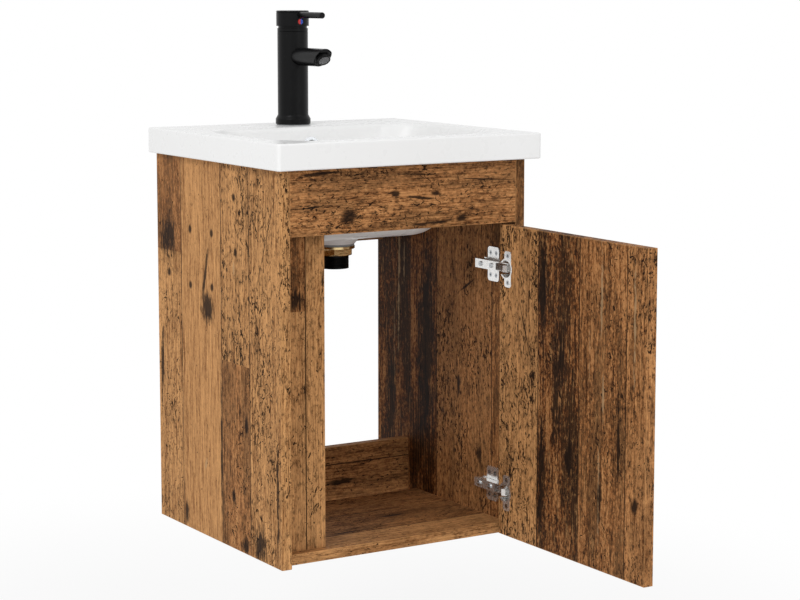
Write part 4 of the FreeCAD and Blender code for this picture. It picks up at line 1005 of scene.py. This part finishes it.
class VANITY_OT_tap(bpy.types.Operator):
    """Coats the tap, its lever and spout, and finishes the pieces under the deck"""
    bl_idname = "vanity.tap"
    bl_label = "Tap"

    def execute(self, context):
        look = context.scene.vanity_fittings
        form = context.scene.vanity_forms
        coat = coated(look)
        zinc = plated("tap_zinc", look.zinc, smooth=0.26, rough=0.42, brush=(500, 500, 500))
        for node in ("tap_spout", "lever_pin", "aerator_housing", "cartridge_ring_nut"):
            dress(node, coat, form.edge)
        axis = middle_of("lever_cap")
        for node, below in (("tap_body", form.body_line), ("lever_cap", form.cap_line)):
            piece = weld_copy(node, node + "_piece")
            round_edges(piece, form.edge)
            turn_grooves(piece, axis, [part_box(node)[1][2] - below], form.line, form.line)
            close_piece(piece, node, coat)
        grille = aerator_grille("aerator_screen", "aerator_grille", form.slant, form.bar)
        bars = moulded("aerator_plastic", look.grille, rough=0.45, spread=0.15)
        close_piece(grille, "aerator_screen", bars)
        for node in ("tap_clamp_plate", "tap_stud_nut"):
            dress(node, zinc, form.edge)
        stud = threaded_rod("tap_stud", "tap_stud_piece", form.thread_pitch, form.thread_depth)
        close_piece(stud, "tap_stud", zinc)
        dress("tap_gasket", moulded("tap_rubber", look.rubber, rough=0.62, spread=0.2), 0.0)
        plastic = moulded("cartridge_plastic", look.cartridge, rough=0.4, spread=0.1)
        for node in ("cartridge_housing", "cartridge_turret"):
            paint(node, plastic)
        brass = plated("spindle_brass", look.brass, smooth=0.2, rough=0.35, brush=(500, 500, 40))
        paint("cartridge_spindle", brass)
        for node in ("turret_pin", "lever_grub_screw"):
            paint(node, zinc)
        dress("dot_hot", moulded("dot_red", look.hot, rough=0.22, spread=0.15), form.small)
        dress("dot_cold", moulded("dot_blue", look.cold, rough=0.22, spread=0.15), form.small)
        return {"FINISHED"}


class VANITY_OT_waste(bpy.types.Operator):
    """Finishes the waste fitting, its nut, washer, plug and seals"""
    bl_idname = "vanity.waste"
    bl_label = "Waste"

    def execute(self, context):
        look = context.scene.vanity_fittings
        form = context.scene.vanity_forms
        coat = coated(look)
        tail = weld_copy("waste_body", "waste_body_piece")
        round_edges(tail, form.edge)
        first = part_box("waste_body")[0][2] + form.tail_start
        rings = [first + form.tail_pitch * k for k in range(form.tail_rings)]
        turn_grooves(tail, middle_of("waste_body"), rings, form.tail_half, form.tail_depth)
        close_piece(tail, "waste_body", coat)
        dress("waste_plug", coat, form.edge)
        brass = plated("nut_brass", look.brass, smooth=0.20, rough=0.36, brush=(60, 60, 900))
        dress("waste_locknut", brass, form.nut)
        rubber = moulded("waste_rubber", look.rubber, rough=0.60, spread=0.2)
        for node in ("waste_washer", "waste_gasket", "plug_seal"):
            dress(node, rubber, form.seal)
        return {"FINISHED"}


class VANITY_OT_hinges(bpy.types.Operator):
    """Finishes cups, arms, plates, pins and screws of the concealed hinges"""
    bl_idname = "vanity.hinges"
    bl_label = "Hinges"

    def execute(self, context):
        look = context.scene.vanity_fittings
        form = context.scene.vanity_forms
        nickel = plated(
            "hinge_nickel", look.nickel, smooth=0.17, rough=0.30, brush=(700, 700, 90), metal=0.86)
        zinc = plated("hinge_zinc", look.zinc, smooth=0.22, rough=0.36, brush=(700, 700, 700))
        for part in ("cup", "arm", "plate"):
            for level in ("upper", "lower"):
                dress(f"hinge_{part}_{level}", nickel, form.pressed, form.pressed_shortest)
        for node in ("hinge_arm_screws", "hinge_pins"):
            dress(node, zinc, 0.0)
        for node in ("hinge_cup_screws", "hinge_plate_screws"):
            screws = weld_copy(node, node + "_piece")
            cross_recesses(screws, form.recess_length, form.recess_width, form.recess_depth)
            close_piece(screws, node, zinc)
        return {"FINISHED"}


class VANITY_OT_fixings(bpy.types.Operator):
    """Finishes the cams, bolts and dowels that join the boards"""
    bl_idname = "vanity.fixings"
    bl_label = "Board fixings"

    def execute(self, context):
        look = context.scene.vanity_fittings
        form = context.scene.vanity_forms
        zinc = plated("cam_zinc", look.zinc, smooth=0.30, rough=0.48, brush=(400, 400, 400))
        dress("cam_discs", zinc, form.small)
        paint("cam_bolts", zinc)
        paint("wood_dowels", moulded("beech", look.beech, rough=0.6, spread=0.3))
        return {"FINISHED"}


class VANITY_OT_stage(bpy.types.Operator):
    """Makes the pale floor, the studio light and the camera"""
    bl_idname = "vanity.stage"
    bl_label = "Stage"

    def seen(self, tree):
        """1 where the camera, a mirror-like surface or clear glass looks straight at the stage."""
        path = put(tree, "LightPath").outputs
        direct = calc(tree, "ADD", path["Is Camera Ray"], path["Is Glossy Ray"], True)
        return calc(tree, "ADD", direct, path["Is Transmission Ray"], True)

    def floor(self, look):
        bpy.ops.object.select_all(action="DESELECT")
        bpy.ops.mesh.primitive_plane_add(size=look.floor_size, location=(0.0, 0.0, look.floor_z))
        floor = named("studio_floor")
        bpy.ops.object.transform_apply(location=True, rotation=True, scale=True)
        material = bpy.data.materials.new("studio_floor")
        material.use_nodes = True
        tree = material.node_tree
        tree.nodes.clear()
        matt = put(tree, "BsdfDiffuse", {"Color": (0.86, 0.86, 0.86, 1.0)}).outputs[0]
        glow = put(tree, "Emission", {"Color": (1.0, 1.0, 1.0, 1.0), "Strength": 1.0}).outputs[0]
        far = length(tree, put(tree, "TexCoord").outputs["Object"])
        white = ease(tree, far, look.fade_start, look.fade_end, 0.80, 1.0)
        share = times(tree, self.seen(tree), white)
        mix = put(tree, "MixShader", {0: share, 1: matt, 2: glow}).outputs[0]
        put(tree, "OutputMaterial", {0: mix})
        floor.data.materials.append(material)

    def sky(self, look):
        world = bpy.data.worlds.new("studio")
        bpy.context.scene.world = world
        world.use_nodes = True
        tree = world.node_tree
        tree.nodes.clear()
        white = (1.0, 1.0, 1.0, 1.0)
        soft = put(tree, "Background", {"Color": white, "Strength": look.sky}).outputs[0]
        plain = put(tree, "Background", {"Color": white, "Strength": 1.0}).outputs[0]
        mix = put(tree, "MixShader", {0: self.seen(tree), 1: soft, 2: plain}).outputs[0]
        put(tree, "OutputWorld", {0: mix})

    def lamp(self, name, place, size, power, aim):
        bpy.ops.object.light_add(type="AREA", location=place)
        lamp = bpy.context.object
        lamp.name = name
        lamp.data.shape = "DISK"
        lamp.data.size = size
        lamp.data.energy = power
        lamp.rotation_euler = (Vector(aim) - Vector(place)).to_track_quat("-Z", "Y").to_euler()

    def camera(self, look):
        turn = (math.pi / 2 - look.pitch, 0.0, -look.yaw)
        bpy.ops.object.camera_add(location=look.eye, rotation=turn)
        camera = bpy.context.object
        camera.name = "studio_camera"
        camera.data.lens = look.lens
        camera.data.sensor_width = look.sensor
        camera.data.shift_y = look.rise
        bpy.context.scene.camera = camera

    def execute(self, context):
        look = context.scene.vanity_stage
        self.floor(look)
        self.sky(look)
        self.lamp("key_lamp", look.key_place, look.key_size, look.key, look.aim)
        self.lamp("fill_lamp", look.fill_place, look.fill_size, look.fill, look.aim)
        self.camera(look)
        context.scene.view_settings.view_transform = "Standard"
        return {"FINISHED"}


class VANITY_PT_unit(bpy.types.Panel):
    """Lists the steps that dress the vanity unit, and its sizes and colours"""
    bl_idname = "VANITY_PT_unit"
    bl_label = "Vanity unit"
    bl_space_type = "VIEW_3D"
    bl_region_type = "UI"
    bl_category = "Vanity"

    def draw(self, context):
        for step in STEPS:
            self.layout.operator(step.bl_idname)
        for name, group in LOOKS:
            box = self.layout.box()
            for key in group.__annotations__:
                box.prop(getattr(context.scene, name), key)


STEPS = [VANITY_OT_boards, VANITY_OT_basin, VANITY_OT_tap, VANITY_OT_waste, VANITY_OT_hinges,
         VANITY_OT_fixings, VANITY_OT_stage]
LOOKS = [("vanity_boards", VanityBoards), ("vanity_fittings", VanityFittings),
         ("vanity_forms", VanityForms), ("vanity_stage", VanityStage)]


def register():
    for name, group in LOOKS:
        bpy.utils.register_class(group)
        setattr(bpy.types.Scene, name, bpy.props.PointerProperty(type=group))
    for step in STEPS:
        bpy.utils.register_class(step)
    bpy.utils.register_class(VANITY_PT_unit)


def unregister():
    bpy.utils.unregister_class(VANITY_PT_unit)
    for step in reversed(STEPS):
        bpy.utils.unregister_class(step)
    for name, group in reversed(LOOKS):
        delattr(bpy.types.Scene, name)
        bpy.utils.unregister_class(group)


def main():
    register()
    bpy.ops.vanity.boards()
    bpy.ops.vanity.basin()
    bpy.ops.vanity.tap()
    bpy.ops.vanity.waste()
    bpy.ops.vanity.hinges()
    bpy.ops.vanity.fixings()
    bpy.ops.vanity.stage()


if __name__ == "__main__":
    main()
